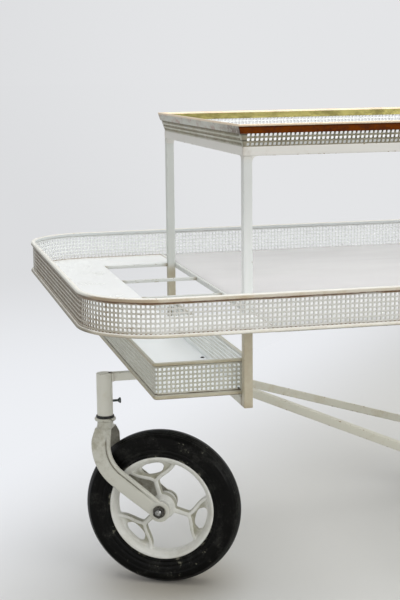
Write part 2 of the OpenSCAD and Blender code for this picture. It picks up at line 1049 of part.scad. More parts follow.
module rear_rim_near() {
    at_rear_wheel(-1)
        rotate(rear_spoke_angle)
            rim(rear_bush_d);
}

module rear_rim_far() {
    at_rear_wheel(1)
        rotate(rear_spoke_angle)
            rim(rear_bush_d);
}

module rear_tyre_near() {
    at_rear_wheel(-1)
        tyre();
}

module rear_tyre_far() {
    at_rear_wheel(1)
        tyre();
}

module rear_bush_near() {
    at_rear_wheel(-1)
        bush(rear_bush_d, rear_axle_d);
}

module rear_bush_far() {
    at_rear_wheel(1)
        bush(rear_bush_d, rear_axle_d);
}

// Ring on the end of the rear axle that starts a distance outside the posts
module axle_ring(side, start, length, d, faces) {
    translate([rear_axle_x, 0, axle_z])
        rotate([-side * 90, 0, 0])
            translate([0, 0, post_y + start])
                difference() {
                    cylinder(h = length, d = d, $fn = faces);
                    translate([0, 0, -over])
                        cylinder(h = length + 2 * over, d = rear_axle_d);
                }
}

module rear_spacers() {
    color("silver")
        for (side = [-1, 1])
            axle_ring(side, 0, rear_wheel_offset - gap, rear_bush_d, 64);
}

module rear_washers() {
    color("silver")
        for (side = [-1, 1])
            axle_ring(side, rear_wheel_offset + hub_width + gap, rear_washer, rear_washer_d, 64);
}

module rear_axle_nuts() {
    color("silver")
        for (side = [-1, 1])
            axle_ring(side, rear_wheel_offset + hub_width + gap + rear_washer, rear_nut,
                nut_flats / cos(30), 6);
}

left_posts();
right_posts();
upper_frame_sides();
upper_frame_ends();
upper_band_sides();
upper_band_ends();
brass_channel_sides();
brass_channel_ends();
upper_glass();
gallery_sides();
gallery_ends();
gallery_corners();
rail_bars();
rail_corners();
bead_bars();
bead_corners();
floor_sheet_left();
floor_sheet_right();
tray_glass();
glass_bearers();
opening_bearer();
cell_dividers();
glass_ledges();
bottle_tray_floor();
bottle_tray_sides();
bottle_tray_ends();
bottle_tray_rim();
bottle_tray_bead();
bottle_tray_spacers();
cross_member();
castor_arm();
head_tube();
head_tube_cap();
stem_bushes();
set_screw();
brace_near();
brace_far();
rear_arms();
rear_axle();
castor_stem();
thrust_washer_ring();
fork_crown();
fork_blade_near();
fork_blade_far();
castor_axle();
castor_axle_nut();
castor_spacers();
castor_rim();
castor_tyre();
castor_wheel_bush();
rear_rim_near();
rear_tyre_near();
rear_bush_near();
rear_rim_far();
rear_tyre_far();
rear_bush_far();
rear_spacers();
rear_washers();
rear_axle_nuts();
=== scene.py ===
# %% [markdown]
# # A serving cart on three wheels
# A welded frame of half-inch square bar carries a long glass tray inside a perforated gallery, a small
# upper tray with a brass edge, and a bottle tray under three open cells. Two wheels stand fixed at one end
# and a castor swivels at the other. The sizes come from the imported CAD model.

# %% Load the frame
import json
import math

import bpy
import numpy as np
from mathutils import Matrix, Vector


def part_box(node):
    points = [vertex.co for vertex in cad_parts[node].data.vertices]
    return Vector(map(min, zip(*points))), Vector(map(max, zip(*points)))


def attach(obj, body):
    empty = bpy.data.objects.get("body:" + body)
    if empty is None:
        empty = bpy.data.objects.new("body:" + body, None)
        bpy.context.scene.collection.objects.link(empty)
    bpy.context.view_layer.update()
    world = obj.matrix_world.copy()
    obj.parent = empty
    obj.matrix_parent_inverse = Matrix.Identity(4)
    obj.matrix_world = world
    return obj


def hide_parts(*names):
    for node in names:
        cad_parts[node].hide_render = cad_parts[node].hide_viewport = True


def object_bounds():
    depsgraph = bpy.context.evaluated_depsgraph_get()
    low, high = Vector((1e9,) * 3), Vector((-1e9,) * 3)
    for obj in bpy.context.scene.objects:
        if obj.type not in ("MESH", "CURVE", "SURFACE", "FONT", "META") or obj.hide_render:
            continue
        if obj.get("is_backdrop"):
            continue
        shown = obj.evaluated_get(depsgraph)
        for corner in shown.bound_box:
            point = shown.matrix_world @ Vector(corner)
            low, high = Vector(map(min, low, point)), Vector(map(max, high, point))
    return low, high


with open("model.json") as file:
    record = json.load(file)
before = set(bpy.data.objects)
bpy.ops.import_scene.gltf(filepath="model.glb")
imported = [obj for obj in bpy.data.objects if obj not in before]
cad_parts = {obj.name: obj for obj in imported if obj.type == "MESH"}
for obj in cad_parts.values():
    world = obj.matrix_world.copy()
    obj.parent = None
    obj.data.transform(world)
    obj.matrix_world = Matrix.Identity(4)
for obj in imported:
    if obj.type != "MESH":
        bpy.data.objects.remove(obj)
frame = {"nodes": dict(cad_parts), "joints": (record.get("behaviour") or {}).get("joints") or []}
cad_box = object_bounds()
MM = 0.001
TURN = 2 * math.pi
QUARTER = math.pi / 2


def node_box(*names):
    """Lowest and highest corner of one or more CAD nodes at rest, in millimetres."""
    corners = np.array([[list(corner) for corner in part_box(name)] for name in names]) / MM
    return corners[:, 0].min(0), corners[:, 1].max(0)


def joint(name):
    """Place of a CAD joint in millimetres, and its axis."""
    row = next(row for row in frame["joints"] if row["name"] == name)
    return np.array(row["pos_m"]) / MM, np.array(row["axis"])


def srgb(red, green, blue):
    """A screen colour from 0 to 255 as the linear colour that a shader takes."""
    share = np.array([red, green, blue]) / 255
    linear = np.where(share <= 0.04045, share / 12.92, ((share + 0.055) / 1.055) ** 2.4)
    return (*linear.tolist(), 1.0)


# %% [markdown]
# ## Camera
# The picture is taken from the castor's end with a long lens. The camera's place, its three turns and its
# focal length were fitted to the straight edges of the cart. The lens is shifted, because the photograph
# shows only a part of what the lens drew.

# %% Camera
PHOTO_PX = (400, 600)
FOCAL_PX = 1316.39
OPTICAL_CENTRE_PX = (161.41, 314.40)
CAMERA_MM = np.array([-772.9, -2001.2, 814.1])
YAW, PITCH, ROLL = np.radians([12.080, 10.703, -0.901])
SENSOR_MM = 36


def make_camera():
    """The matrix's columns are the camera's right, its up and the way back, all turned by the roll."""
    ahead = np.array([math.sin(YAW) * math.cos(PITCH), math.cos(YAW) * math.cos(PITCH), -math.sin(PITCH)])
    level = np.array([math.cos(YAW), -math.sin(YAW), 0])
    above = np.cross(level, ahead)
    matrix = np.eye(4)
    matrix[:3, 0] = level * math.cos(ROLL) + above * math.sin(ROLL)
    matrix[:3, 1] = above * math.cos(ROLL) - level * math.sin(ROLL)
    matrix[:3, 2] = -ahead
    matrix[:3, 3] = CAMERA_MM * MM
    lens = bpy.data.cameras.new("camera")
    lens.sensor_width = SENSOR_MM
    lens.lens = SENSOR_MM * FOCAL_PX / max(PHOTO_PX)
    lens.shift_x = (PHOTO_PX[0] / 2 - OPTICAL_CENTRE_PX[0]) / max(PHOTO_PX)
    lens.shift_y = (OPTICAL_CENTRE_PX[1] - PHOTO_PX[1] / 2) / max(PHOTO_PX)
    camera = bpy.data.objects.new("camera", lens)
    camera.matrix_world = Matrix(matrix.tolist())
    bpy.context.scene.collection.objects.link(camera)
    bpy.context.scene.camera = camera
    print("lens", round(lens.lens, 2), "mm, shift", round(lens.shift_x, 4), round(lens.shift_y, 4))


make_camera()

# %% [markdown]
# ## Shader maths in Python
# A worn paint is a sum of masks. Written as nodes it is hard to read, so one class wraps a node's output
# and turns +, -, *, / and abs() into Math nodes, and a second class makes every other node from its type,
# its settings and its inputs.


# %% Shader maths in Python
# Sockets that share their name with others on the node are known by their number.
OBJECT_OUT = 3
MARK_OUT = 2
MIX_SHARE, MIX_ONE, MIX_TWO, MIX_OUT = 0, 6, 7, 2


class Wire:
    """A node's output. An operator on it adds a Math node and gives that node's output."""

    def __init__(self, paint, socket):
        self.paint = paint
        self.socket = socket

    def __neg__(self):
        return self * -1

    def __abs__(self):
        return self.paint.maths("ABSOLUTE", self)


for operator, operation in {"add": "ADD", "sub": "SUBTRACT", "mul": "MULTIPLY", "truediv": "DIVIDE"}.items():
    setattr(Wire, f"__{operator}__", lambda a, b, how=operation: a.paint.maths(how, a, b))
    setattr(Wire, f"__r{operator}__", lambda a, b, how=operation: a.paint.maths(how, b, a))


class Paint:
    """One material, or the world, built up by add()."""

    def __init__(self, name, kind="materials"):
        self.owner = getattr(bpy.data, kind).new(name)
        self.owner.use_nodes = True
        self.tree = self.owner.node_tree
        self.tree.nodes.clear()

    def add(self, kind, settings=None, inputs=None, out=0):
        """A node of that kind: its settings are set first, then each input gets its value or its link."""
        node = self.tree.nodes.new("ShaderNode" + kind)
        for name, value in (settings or {}).items():
            setattr(node, name, value)
        for name, value in (inputs or {}).items():
            if isinstance(value, Wire):
                self.tree.links.new(value.socket, node.inputs[name])
            else:
                node.inputs[name].default_value = value
        return Wire(self, node.outputs[out]) if len(node.outputs) else None

    def maths(self, operation, *values):
        """A Math node on one, two or three wires or numbers."""
        return self.add("Math", {"operation": operation}, dict(enumerate(values)))

    def place(self):
        """Position on the piece, in metres."""
        return self.add("TexCoord", out=OBJECT_OUT)

    def outputs(self, wire):
        """Every output of the node that a wire comes from."""
        return {socket.name: Wire(self, socket) for socket in wire.socket.node.outputs}

    def axes(self):
        """The same position as three numbers."""
        return list(self.outputs(self.add("SeparateXYZ", None, {0: self.place()})).values())

    def mark(self, name):
        """A number that the mesh carries for each of its points."""
        return self.add("Attribute", {"attribute_name": name}, out=MARK_OUT)

    def noise(self, size_mm, detail=4.0, rough=0.55, stretch=(1, 1, 1)):
        """Clouds of about that size, from 0 to 1 round 0.5, drawn out along an axis by stretch."""
        place = self.add("VectorMath", {"operation": "DIVIDE"}, {0: self.place(), 1: stretch})
        return self.add("TexNoise", None, {"Vector": place, "Scale": 1 / (size_mm * MM), "Detail": detail,
                                           "Roughness": rough})

    def step(self, value, low, high):
        """0 below low, 1 above high, and a smooth rise between them."""
        return self.add("MapRange", {"interpolation_type": "SMOOTHSTEP"},
                        {"Value": value, "From Min": low, "From Max": high})

    def blend(self, share, one, two):
        """Colour one where share is 0, and two where it is 1."""
        return self.add("Mix", {"data_type": "RGBA"}, {MIX_SHARE: share, MIX_ONE: one, MIX_TWO: two}, MIX_OUT)

    def seam(self, height, middle_mm, half_mm, specks, ragged):
        """1 within a half width of a height, and 0 above and below it. The specks make its edges ragged."""
        away = abs(height - middle_mm * MM) / MM
        return 1 - self.step(away + specks * ragged - ragged / 2, half_mm - 0.5, half_mm + 0.5)

    def bump(self, height, strength, distance_mm):
        """A normal tilted by the slope of a height, where a height of 1 stands distance_mm high."""
        return self.add("Bump", None, {"Height": height, "Strength": strength, "Distance": distance_mm * MM})

    def surface(self, **inputs):
        """Ends the material in a Principled shader. An underscore in a name stands for a space."""
        named = {name.replace("_", " "): value for name, value in inputs.items()}
        shader = self.add("BsdfPrincipled", None, named)
        self.add("OutputMaterial", None, {"Surface": shader})
        return self.owner


# %% [markdown]
# ## Old enamel
# Every painted part has the same history: brushed off-white enamel that yellowed in clouds, gathered grime
# in corners and chipped along its arrises. The mesh says where arrises and corners are with two marks,
# edge and grime, and noise breaks the masks up, so that no edge is worn evenly. On the fork the
# second mark also carries painted shade, over the blades' inner faces and in the groove by each lip.


# %% Old enamel
def enamel(name, clean, stained, bare, stain=0.5, chips=0.5, roughness=0.42):
    """Painted steel. From 0 to 1, stain says how much of it is stained, and chips how far its edges are
    chipped."""
    paint = Paint(name)
    clouds = paint.noise(60, 5, 0.6)
    specks = paint.noise(7, 6, 0.65)
    cloudy = paint.step(clouds * 0.65 + specks * 0.35, 0.66 - 0.32 * stain, 0.84 - 0.32 * stain)
    # dirt_and_shade: grime at welds and bar ends, and on the fork a painted shade.
    dirt_and_shade = paint.step(paint.mark("grime") * 0.75 + specks * 0.5, 0.55, 1.05)
    worn = paint.step(paint.mark("edge") * 0.5 + specks, 1.10 - 0.22 * chips, 1.17 - 0.22 * chips)
    colour = paint.blend(cloudy * 0.85, clean, stained)
    colour = paint.blend(dirt_and_shade * 0.8, colour, bare)
    colour = paint.blend(worn, colour, bare)
    grain = paint.noise(2.2, 3, 0.5)
    relief = grain * 0.25 - worn * 0.9 + clouds * 0.4
    return paint.surface(Base_Color=colour, Roughness=specks * 0.2 + (roughness - 0.1) + worn * 0.2,
                         Normal=paint.bump(relief, 0.35, 0.12), Specular_IOR_Level=0.45)


frame_paint = enamel("frame_enamel", srgb(221, 219, 213), srgb(210, 204, 196), srgb(150, 132, 106), 0.4, 0.1)
low_paint = enamel("low_frame_enamel", srgb(204, 202, 188), srgb(190, 183, 162), srgb(138, 118, 92), 0.5, 0.1)
fork_paint = enamel("fork_enamel", srgb(207, 206, 195), srgb(164, 160, 140), srgb(92, 82, 62), 0.5, 0.2, 0.34)
# The head tube and the arm are painted lighter than the frame, as painted light in the shade under the tray.
lightened_head_paint = enamel("lightened_head_enamel", srgb(226, 225, 214), srgb(214, 208, 188), srgb(138, 118, 92), 0.4, 0.1)
white_paint = enamel("floor_enamel", srgb(243, 246, 247), srgb(234, 236, 235), srgb(150, 128, 96), 0.3, 0.2,
                     0.35)
print("enamels", frame_paint.name, low_paint.name, fork_paint.name, white_paint.name)

# %% [markdown]
# ## Shapes as arrays
# A shape is an array of points in millimetres, arrays of faces, and marks. Nearly every part of a welded
# cart is a section carried along a path, so skin() closes any grid of points into a surface, and the
# helpers after it only work out such grids.


# %% Shapes as arrays
class Shape:
    """Points in millimetres, faces as rows of point numbers, and marks, one number per point."""

    def __init__(self, points, faces, marks=None):
        self.points = np.asarray(points, float).reshape(-1, 3)
        self.faces = [np.asarray(rows, int) for rows in faces if len(rows)]
        count = len(self.points)
        self.marks = {name: np.broadcast_to(values, count) for name, values in (marks or {}).items()}

    def volume(self):
        """Sum of the tetrahedra from the origin over all faces, each cut into a fan of triangles."""
        total = 0.0
        for rows in self.faces:
            corners = self.points[rows]
            for k in range(1, rows.shape[1] - 1):
                total += np.einsum("ij,ij->", corners[:, 0], np.cross(corners[:, k], corners[:, k + 1])) / 6
        return total

    def turned_out(self):
        """Reverses the faces if they point into the solid."""
        if self.volume() < 0:
            self.faces = [rows[:, ::-1] for rows in self.faces]
        return self

    def moved(self, matrix=np.eye(3), shift=(0, 0, 0)):
        """Every point times the matrix, plus the shift. A mirror in the matrix reverses the faces."""
        faces = [rows[:, ::-1] for rows in self.faces] if np.linalg.det(matrix) < 0 else self.faces
        return Shape(self.points @ np.asarray(matrix, float).T + shift, faces, self.marks)


def joined(shapes):
    """Several shapes as one, with point numbers moved on and missing marks at 0."""
    names = sorted({name for shape in shapes for name in shape.marks})
    starts = np.cumsum([0] + [len(shape.points) for shape in shapes])
    faces = [rows + start for shape, start in zip(shapes, starts) for rows in shape.faces]
    marks = {name: np.concatenate([shape.marks.get(name, np.zeros(len(shape.points))) for shape in shapes])
             for name in names}
    return Shape(np.concatenate([shape.points for shape in shapes]), faces, marks)


def skin(grid, ring=False, **marks):
    """Closed surface through rows of points, each row a closed section: row to row, and round each section.

    A ring joins its last row to its first. An open tube gets a flat cap on each end.
    """
    grid = np.asarray(grid, float)
    rows, columns = grid.shape[:2]
    number = np.arange(rows * columns).reshape(rows, columns)
    ahead = np.roll(number, -1, 0) if ring else number[1:]
    here = number if ring else number[:-1]
    faces = [np.stack([here, ahead, np.roll(ahead, -1, 1), np.roll(here, -1, 1)], -1).reshape(-1, 4)]
    if not ring:
        faces += [number[:1], number[-1:, ::-1]]
    spread = {name: np.broadcast_to(values, (rows, columns)).ravel() for name, values in marks.items()}
    return Shape(grid.reshape(-1, 3), faces, spread).turned_out()


ARRIS = 1.0
ARRIS_FLAT = 2.2


def rounded_section(width, height, radius=ARRIS, near=ARRIS_FLAT, steps=3):
    """Corner arcs p = centre + radius (cos a, sin a), with one more point on each flat beside every arc.

    Returns the section, counter-clockwise, and its edge mark: 1 on the arcs and 0 on the flats.
    """
    signs = np.array([[1, 1], [-1, 1], [-1, -1], [1, -1]])[:, None]
    middle = np.array([width, height]) / 2 - radius
    angle = np.linspace(0, QUARTER, steps + 1) + np.arange(4)[:, None] * QUARTER
    outward = np.stack([np.cos(angle), np.sin(angle)], -1)
    along = np.stack([-np.sin(angle), np.cos(angle)], -1)
    arcs = signs * middle + radius * outward
    loop = np.concatenate([arcs[:, :1] - near * along[:, :1], arcs, arcs[:, -1:] + near * along[:, -1:]], 1)
    return loop.reshape(-1, 2), np.tile([0.0] + [1.0] * (steps + 1) + [0.0], 4)


BAR = node_box("cross_member")[1][2] - node_box("cross_member")[0][2]
END_INSET = 1.2 * ARRIS
END_DIRT_MM = np.array([9, 28])
END_DIRT_SHARE = np.array([0.2, 0.45])
END_DIRT = np.array([1, 1, 0.6, 0, 0, 0.6, 1, 1])


def bar(start, end, width=BAR, height=BAR, up=(0, 0, 1), dirty=(1, 1), near=ARRIS_FLAT):
    """A rounded section carried straight from start to end. Its ends draw in by the arris, and near them
    the grime mark rises where dirty asks for it, as at a weld."""
    start, end = np.array(start, float), np.array(end, float)
    length = np.linalg.norm(end - start)
    ahead = (end - start) / length
    across = np.cross(ahead, up) / np.linalg.norm(np.cross(ahead, up))
    above = np.cross(across, ahead)
    section, edge = rounded_section(width, height, min(ARRIS, width / 4, height / 4), near)
    inner = np.minimum(END_DIRT_MM, length * END_DIRT_SHARE)
    first = np.array([0, 0.1 * inner[0], *inner])
    places = np.concatenate([first, length - first[::-1]])
    dirt_and_shade = END_DIRT * np.repeat(dirty, len(first))
    shrink = np.ones((len(places), 1, 2))
    shrink[[0, -1]] = 1 - END_INSET / np.array([width, height])
    flat = section * shrink
    grid = start + places[:, None, None] * ahead + flat[..., :1] * across + flat[..., 1:] * above
    rim = np.zeros((len(places), 1))
    rim[[0, 1, -2, -1]] = 1
    return skin(grid, edge=np.maximum(edge, rim), grime=dirt_and_shade[:, None])


# A rectangle's corners, and each side's way ahead and way out, counter-clockwise from its near left corner.
CORNER_SIGNS = np.array([[-1, -1], [1, -1], [1, 1], [-1, 1]])
SIDE_AHEAD = np.array([[1, 0], [0, 1], [-1, 0], [0, -1]])
SIDE_OUT = np.array([[0, -1], [1, 0], [0, 1], [-1, 0]])
CORNER_STEPS = 20
SIDE_STEPS = 4


def outline(length, width, radius, distance):
    """Point and outward direction at a distance along a rounded rectangle, from the left end of its near
    side. A disc of the corner's radius rolls inside it: its centre moves along the sides only, and its
    outward direction turns on the corners only."""
    sides = np.array([length, width, length, width]) - 2 * radius
    starts = np.concatenate([[0], np.cumsum(sides + QUARTER * radius)[:3]])
    along = np.asarray(distance, float)[:, None] - starts
    centre = -sides[:2] / 2 + np.clip(along, 0, sides) @ SIDE_AHEAD
    turn = np.clip(along - sides, 0, QUARTER * radius).sum(1) / radius
    outward = np.stack([np.sin(turn), -np.cos(turn)], 1)
    return centre + radius * outward, outward


def outline_length(length, width, radius):
    """All four sides less two radii at each corner, and four quarter circles."""
    return 2 * (length + width) - 8 * radius + TURN * radius


def outline_places(length, width, radius):
    """Distances along a rounded rectangle: close together on its corners and few on its sides."""
    sides = np.array([length, width, length, width]) - 2 * radius
    spans = np.stack([sides, np.full(4, QUARTER * radius)], 1).ravel()
    steps = np.tile([SIDE_STEPS, CORNER_STEPS], 4)
    starts = np.cumsum(np.concatenate([[0], spans[:-1]]))
    return np.concatenate([start + np.arange(n) * span / n for start, span, n in zip(starts, spans, steps)])


def swept_ring(size, centre, section, **marks):
    """S(s, t) = outline(s) + u(t) outward(s), at height v(t)."""
    points, outward = outline(*size, outline_places(*size))
    level = points[:, None] + section[None, :, :1] * outward[:, None] + centre
    height = np.broadcast_to(section[:, 1], level.shape[:2])[..., None]
    return skin(np.concatenate([level, height], -1), ring=True, **marks)


def lathe(profile, centre=(0, 0, 0), axis=(0, 0, 1), steps=64, **marks):
    """A profile of (radius, height) turned about an axis. Radius 0 at its ends becomes one point, a pole."""
    profile = np.asarray(profile, float)
    axis = np.array(axis, float) / np.linalg.norm(axis)
    side = np.cross(axis, [1, 0, 0] if abs(axis[0]) < 0.7 else [0, 1, 0])
    side /= np.linalg.norm(side)
    other = np.cross(axis, side)
    angle = np.arange(steps) * TURN / steps
    round_it = np.cos(angle)[:, None] * side + np.sin(angle)[:, None] * other
    poles = profile[:, 0] < 1e-9
    rings = profile[~poles]
    grid = rings[:, None, :1] * round_it + rings[:, None, 1:] * axis + np.array(centre, float)
    closed = not poles.any()
    number = np.arange(len(rings) * steps).reshape(len(rings), steps)
    here, ahead = (number, np.roll(number, -1, 0)) if closed else (number[:-1], number[1:])
    faces = [np.stack([here, np.roll(here, -1, 1), np.roll(ahead, -1, 1), ahead], -1).reshape(-1, 4)]
    points = [grid.reshape(-1, 3)]
    for pole, row, turn in ((0, number[0], -1), (-1, number[-1], 1)) if not closed else ():
        points.append((profile[pole, 1] * axis + np.array(centre, float))[None])
        tip = np.full(steps, len(rings) * steps + len(points) - 2)
        faces.append(np.stack([row, np.roll(row, -1), tip], -1)[:, ::turn])
    spread = {}
    for name, values in marks.items():
        values = np.broadcast_to(values, len(profile))
        tips = [] if closed else values[[0, -1]]
        spread[name] = np.concatenate([np.repeat(values[~poles], steps), tips])
    return Shape(np.concatenate(points), faces, spread).turned_out()


# %% [markdown]
# ## From a shape to a piece
# add_piece() writes the arrays into a mesh, marks the creases sharp, rides the piece on its CAD body and
# hides the CAD nodes it stands for. CAD nodes whose shape is already right are only dressed.


# %% From a shape to a piece
CREASE = math.radians(38)


def new_mesh(name, shape):
    """The arrays of a shape as a mesh in metres, with each mark as an attribute of its points."""
    mesh = bpy.data.meshes.new(name)
    sizes = np.concatenate([np.full(len(rows), rows.shape[1]) for rows in shape.faces])
    corners = np.concatenate([rows.ravel() for rows in shape.faces])
    mesh.vertices.add(len(shape.points))
    mesh.vertices.foreach_set("co", (shape.points * MM).astype(np.float32).ravel())
    mesh.loops.add(len(corners))
    mesh.loops.foreach_set("vertex_index", corners.astype(np.int32))
    mesh.polygons.add(len(sizes))
    mesh.polygons.foreach_set("loop_start", (np.cumsum(sizes) - sizes).astype(np.int32))
    mesh.update(calc_edges=True)
    for mark, values in shape.marks.items():
        mesh.attributes.new(mark, "FLOAT", "POINT").data.foreach_set("value", values.astype(np.float32))
    return mesh


def finished(piece, body, replaces, smooth=True):
    """Applies the piece's modifiers, then gives it its shading and body, and hides the CAD nodes it stands
    for.
    """
    if piece.modifiers:
        solid = bpy.data.meshes.new_from_object(piece.evaluated_get(bpy.context.evaluated_depsgraph_get()))
        piece.modifiers.clear()
        piece.data = solid
    if smooth:
        piece.data.shade_smooth()
        piece.data.set_sharp_from_angle(angle=CREASE)
    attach(piece, body)
    if replaces:
        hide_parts(*replaces)
    print(piece.name, len(piece.data.polygons), "faces")
    return piece


def add_piece(name, shape, material, body, replaces=()):
    """A shape in one material as a piece of a body."""
    piece = bpy.data.objects.new(name, new_mesh(name, shape))
    bpy.context.scene.collection.objects.link(piece)
    piece.data.materials.append(material)
    return finished(piece, body, replaces)


def add_sheet(name, shape, thickness, materials, body, replaces=()):
    """A sheet whose shape is its outer face: Solidify sets the wall behind it, with the second material on
    the inner face and the third on every cut edge."""
    piece = bpy.data.objects.new(name, new_mesh(name, shape))
    bpy.context.scene.collection.objects.link(piece)
    wall = piece.modifiers.new("wall", "SOLIDIFY")
    wall.thickness = thickness * MM
    wall.offset = -1
    wall.material_offset = 1
    wall.material_offset_rim = 2
    for material in materials:
        piece.data.materials.append(material)
    return finished(piece, body, replaces, smooth=False)


def dress(node, material):
    """A CAD node keeps its shape and takes a material."""
    mesh = frame["nodes"][node].data
    mesh.materials.clear()
    mesh.materials.append(material)


# %% [markdown]
# ## Square-bar frame
# The frame is half-inch bar, welded: four posts, the ring under the upper tray, a cross-member, an arm to
# the castor, two braces and the rear axle bar. A cube would show razor edges, so each bar is a section with
# rounded arrises carried along its length, and small hollow fillets stand in the angles where it is welded.


# %% Square-bar frame
WELD_RADIUS = 8.0
WELD_SUNK = 0.4
WELD_HALF = (BAR - 1) / 2


def weld(corner, along_a, along_b):
    """A weld in the inner angle of two bars: a hollow quarter arc, nearly as wide as the bars."""
    angle = np.linspace(0, QUARTER, 7)
    a = np.concatenate([[-WELD_SUNK], WELD_RADIUS * (1 - np.sin(angle))])
    b = np.concatenate([[-WELD_SUNK], WELD_RADIUS * (1 - np.cos(angle))])
    along_a, along_b = np.array(along_a, float), np.array(along_b, float)
    face = np.array(corner, float) + a[:, None] * along_a + b[:, None] * along_b
    depth = np.cross(along_a, along_b) * WELD_HALF
    return skin([face - depth, face + depth], grime=0.35)


def frame_ring(low, high):
    """The ring under the upper tray: one section carried round a rectangle and mitred at its corners, where
    the way outwards is the diagonal, longer by the square root of two."""
    section, edge = rounded_section(high[2] - low[2], high[2] - low[2])
    corner = np.repeat(CORNER_SIGNS * (high[:2] - BAR / 2), 3, 0)
    last_out, last_ahead = np.roll(SIDE_OUT, 1, 0), np.roll(SIDE_AHEAD, 1, 0)
    across = np.stack([last_out, SIDE_OUT + last_out, SIDE_OUT], 1).reshape(-1, 2)
    shift = END_DIRT_MM[1] * np.stack([-last_ahead, 0 * SIDE_AHEAD, SIDE_AHEAD], 1).reshape(-1, 2)
    level = (corner + shift)[:, None] + section[None, :, :1] * across[:, None]
    height = np.broadcast_to(section[:, 1] + (low[2] + high[2]) / 2, level.shape[:2])[..., None]
    dirt_and_shade = np.tile([0, 0.7, 0], 4)[:, None]
    return skin(np.concatenate([level, height], -1), ring=True, edge=edge, grime=dirt_and_shade)


post_low, post_high = node_box("left_posts", "right_posts")
post_x, post_y = post_high[:2] - BAR / 2
ring_low, ring_high = node_box("upper_frame_sides", "upper_frame_ends")
feet = {-1: node_box("left_posts")[0][2], 1: node_box("right_posts")[0][2]}
down = (0, 0, -1)
posts = []
welds = []
for side_x, side_y in CORNER_SIGNS:
    x, y = side_x * post_x, side_y * post_y
    posts.append(bar((x, y, feet[side_x]), (x, y, post_high[2]), up=(0, 1, 0)))
    welds.append(weld((x - side_x * BAR / 2, y, ring_low[2]), (-side_x, 0, 0), down))
    welds.append(weld((x, y - side_y * BAR / 2, ring_low[2]), (0, -side_y, 0), down))
print("posts", len(posts), "welds", len(welds))

# %% [markdown]
# Below the tray the enamel is older and browner, as the photograph shows, so each post's paint changes at
# the tray's height: one material reads the height and blends the two paints' colours.


# %% Paint that changes with height
BROWN_TO_WHITE = (0.455, 0.475)
LIGHT_TO_SHADE_HEIGHTS = (0.50, 0.66)


def two_height_enamel():
    """The frame's enamel above the tray and the browner one below it, blended over the gallery's depth. The
    upper one is painted lighter near the tray than higher up, as painted light, and darker on the far posts,
    as painted shade."""
    paint = Paint("post_enamel")
    _, depth, height = paint.axes()
    upper = paint.step(height, *BROWN_TO_WHITE)
    clouds = paint.noise(60, 5, 0.6, (1, 1, 2.5))
    specks = paint.noise(7, 6, 0.65)
    cloudy = paint.step(clouds * 0.65 + specks * 0.35, 0.42, 0.66)
    # Painted light and shade: whiter just above the tray, greyer higher up and on the far posts.
    painted_light_tone = paint.blend(paint.step(height, *LIGHT_TO_SHADE_HEIGHTS), srgb(239, 241, 239), srgb(211, 213, 210))
    painted_light_tone = paint.blend(paint.step(depth, -0.1, 0.1), painted_light_tone, srgb(208, 211, 206))
    clean = paint.blend(upper, srgb(194, 188, 166), painted_light_tone)
    stained = paint.blend(upper, srgb(182, 170, 146), painted_light_tone)
    dirt_and_shade = paint.step(paint.mark("grime") * 0.75 + specks * 0.5, 0.6, 1.15)
    worn = paint.step(paint.mark("edge") * 0.5 + specks, 1.08, 1.16)
    colour = paint.blend(cloudy * 0.85, clean, stained)
    colour = paint.blend(dirt_and_shade * 0.4, colour, srgb(164, 150, 124))
    colour = paint.blend(worn * 0.6, colour, srgb(146, 128, 100))
    relief = paint.noise(2.2, 3, 0.5) * 0.25 - worn * 0.9 + clouds * 0.4
    return paint.surface(Base_Color=colour, Roughness=specks * 0.2 + 0.32,
                         Normal=paint.bump(relief, 0.35, 0.12))


post_paint = two_height_enamel()
add_piece("post_bars", joined(posts), post_paint, "cart", ["left_posts", "right_posts"])
add_piece("upper_frame_ring", frame_ring(ring_low, ring_high), frame_paint, "cart",
          ["upper_frame_sides", "upper_frame_ends"])
add_piece("corner_welds", joined(welds), frame_paint, "cart")

# %% Cross-member, arm, braces and rear axle
INTO_POST = 1.0
INTO_TUBE = 6.0
cross_low, cross_high = node_box("cross_member")
arm_low, arm_high = node_box("castor_arm")
swivel = joint("castor_swivel")[0]
cross_x, _, cross_z = (cross_low + cross_high) / 2
cross = bar((cross_x, cross_low[1] - INTO_POST, cross_z), (cross_x, cross_high[1] + INTO_POST, cross_z))
add_piece("cross_bar", cross, low_paint, "cart", ["cross_member"])
arm_middle = (arm_low[2] + arm_high[2]) / 2
arm = bar((swivel[0] + INTO_TUBE, 0, arm_middle), (arm_high[0], 0, arm_middle), dirty=(1, 0))
add_piece("arm_bar", arm, lightened_head_paint, "cart", ["castor_arm"])
rear_low, rear_high = node_box("rear_axle")
axle_x, _, axle_z = (rear_low + rear_high) / 2
BRACE_DROP = 0.58 * BAR
BRACE_OVERRUN = 12.0
BRACE_SHORT = 2.0
BRACE_CUT_X = 0.1
BRACE_CUT_Z = 0.2
braces = []
for side in (-1, 1):
    low, high = node_box("brace_near" if side < 0 else "brace_far")
    brace_y = min(abs(low[1]), abs(high[1])) + BAR / 2
    first = np.array([low[0] + BAR / 2, side * brace_y, cross_low[2] - BRACE_DROP])
    last = np.array([high[0], side * post_y, axle_z])
    ahead = (last - first) / np.linalg.norm(last - first)
    brace = bar(first - ahead * BRACE_OVERRUN, last - ahead * BRACE_SHORT)
    brace.points[:, 0] = np.maximum(brace.points[:, 0], low[0] + BRACE_CUT_X)
    brace.points[:, 2] = np.minimum(brace.points[:, 2], cross_low[2] + BRACE_CUT_Z)
    braces.append(brace)
add_piece("brace_bars", joined(braces), low_paint, "cart", ["brace_near", "brace_far"])

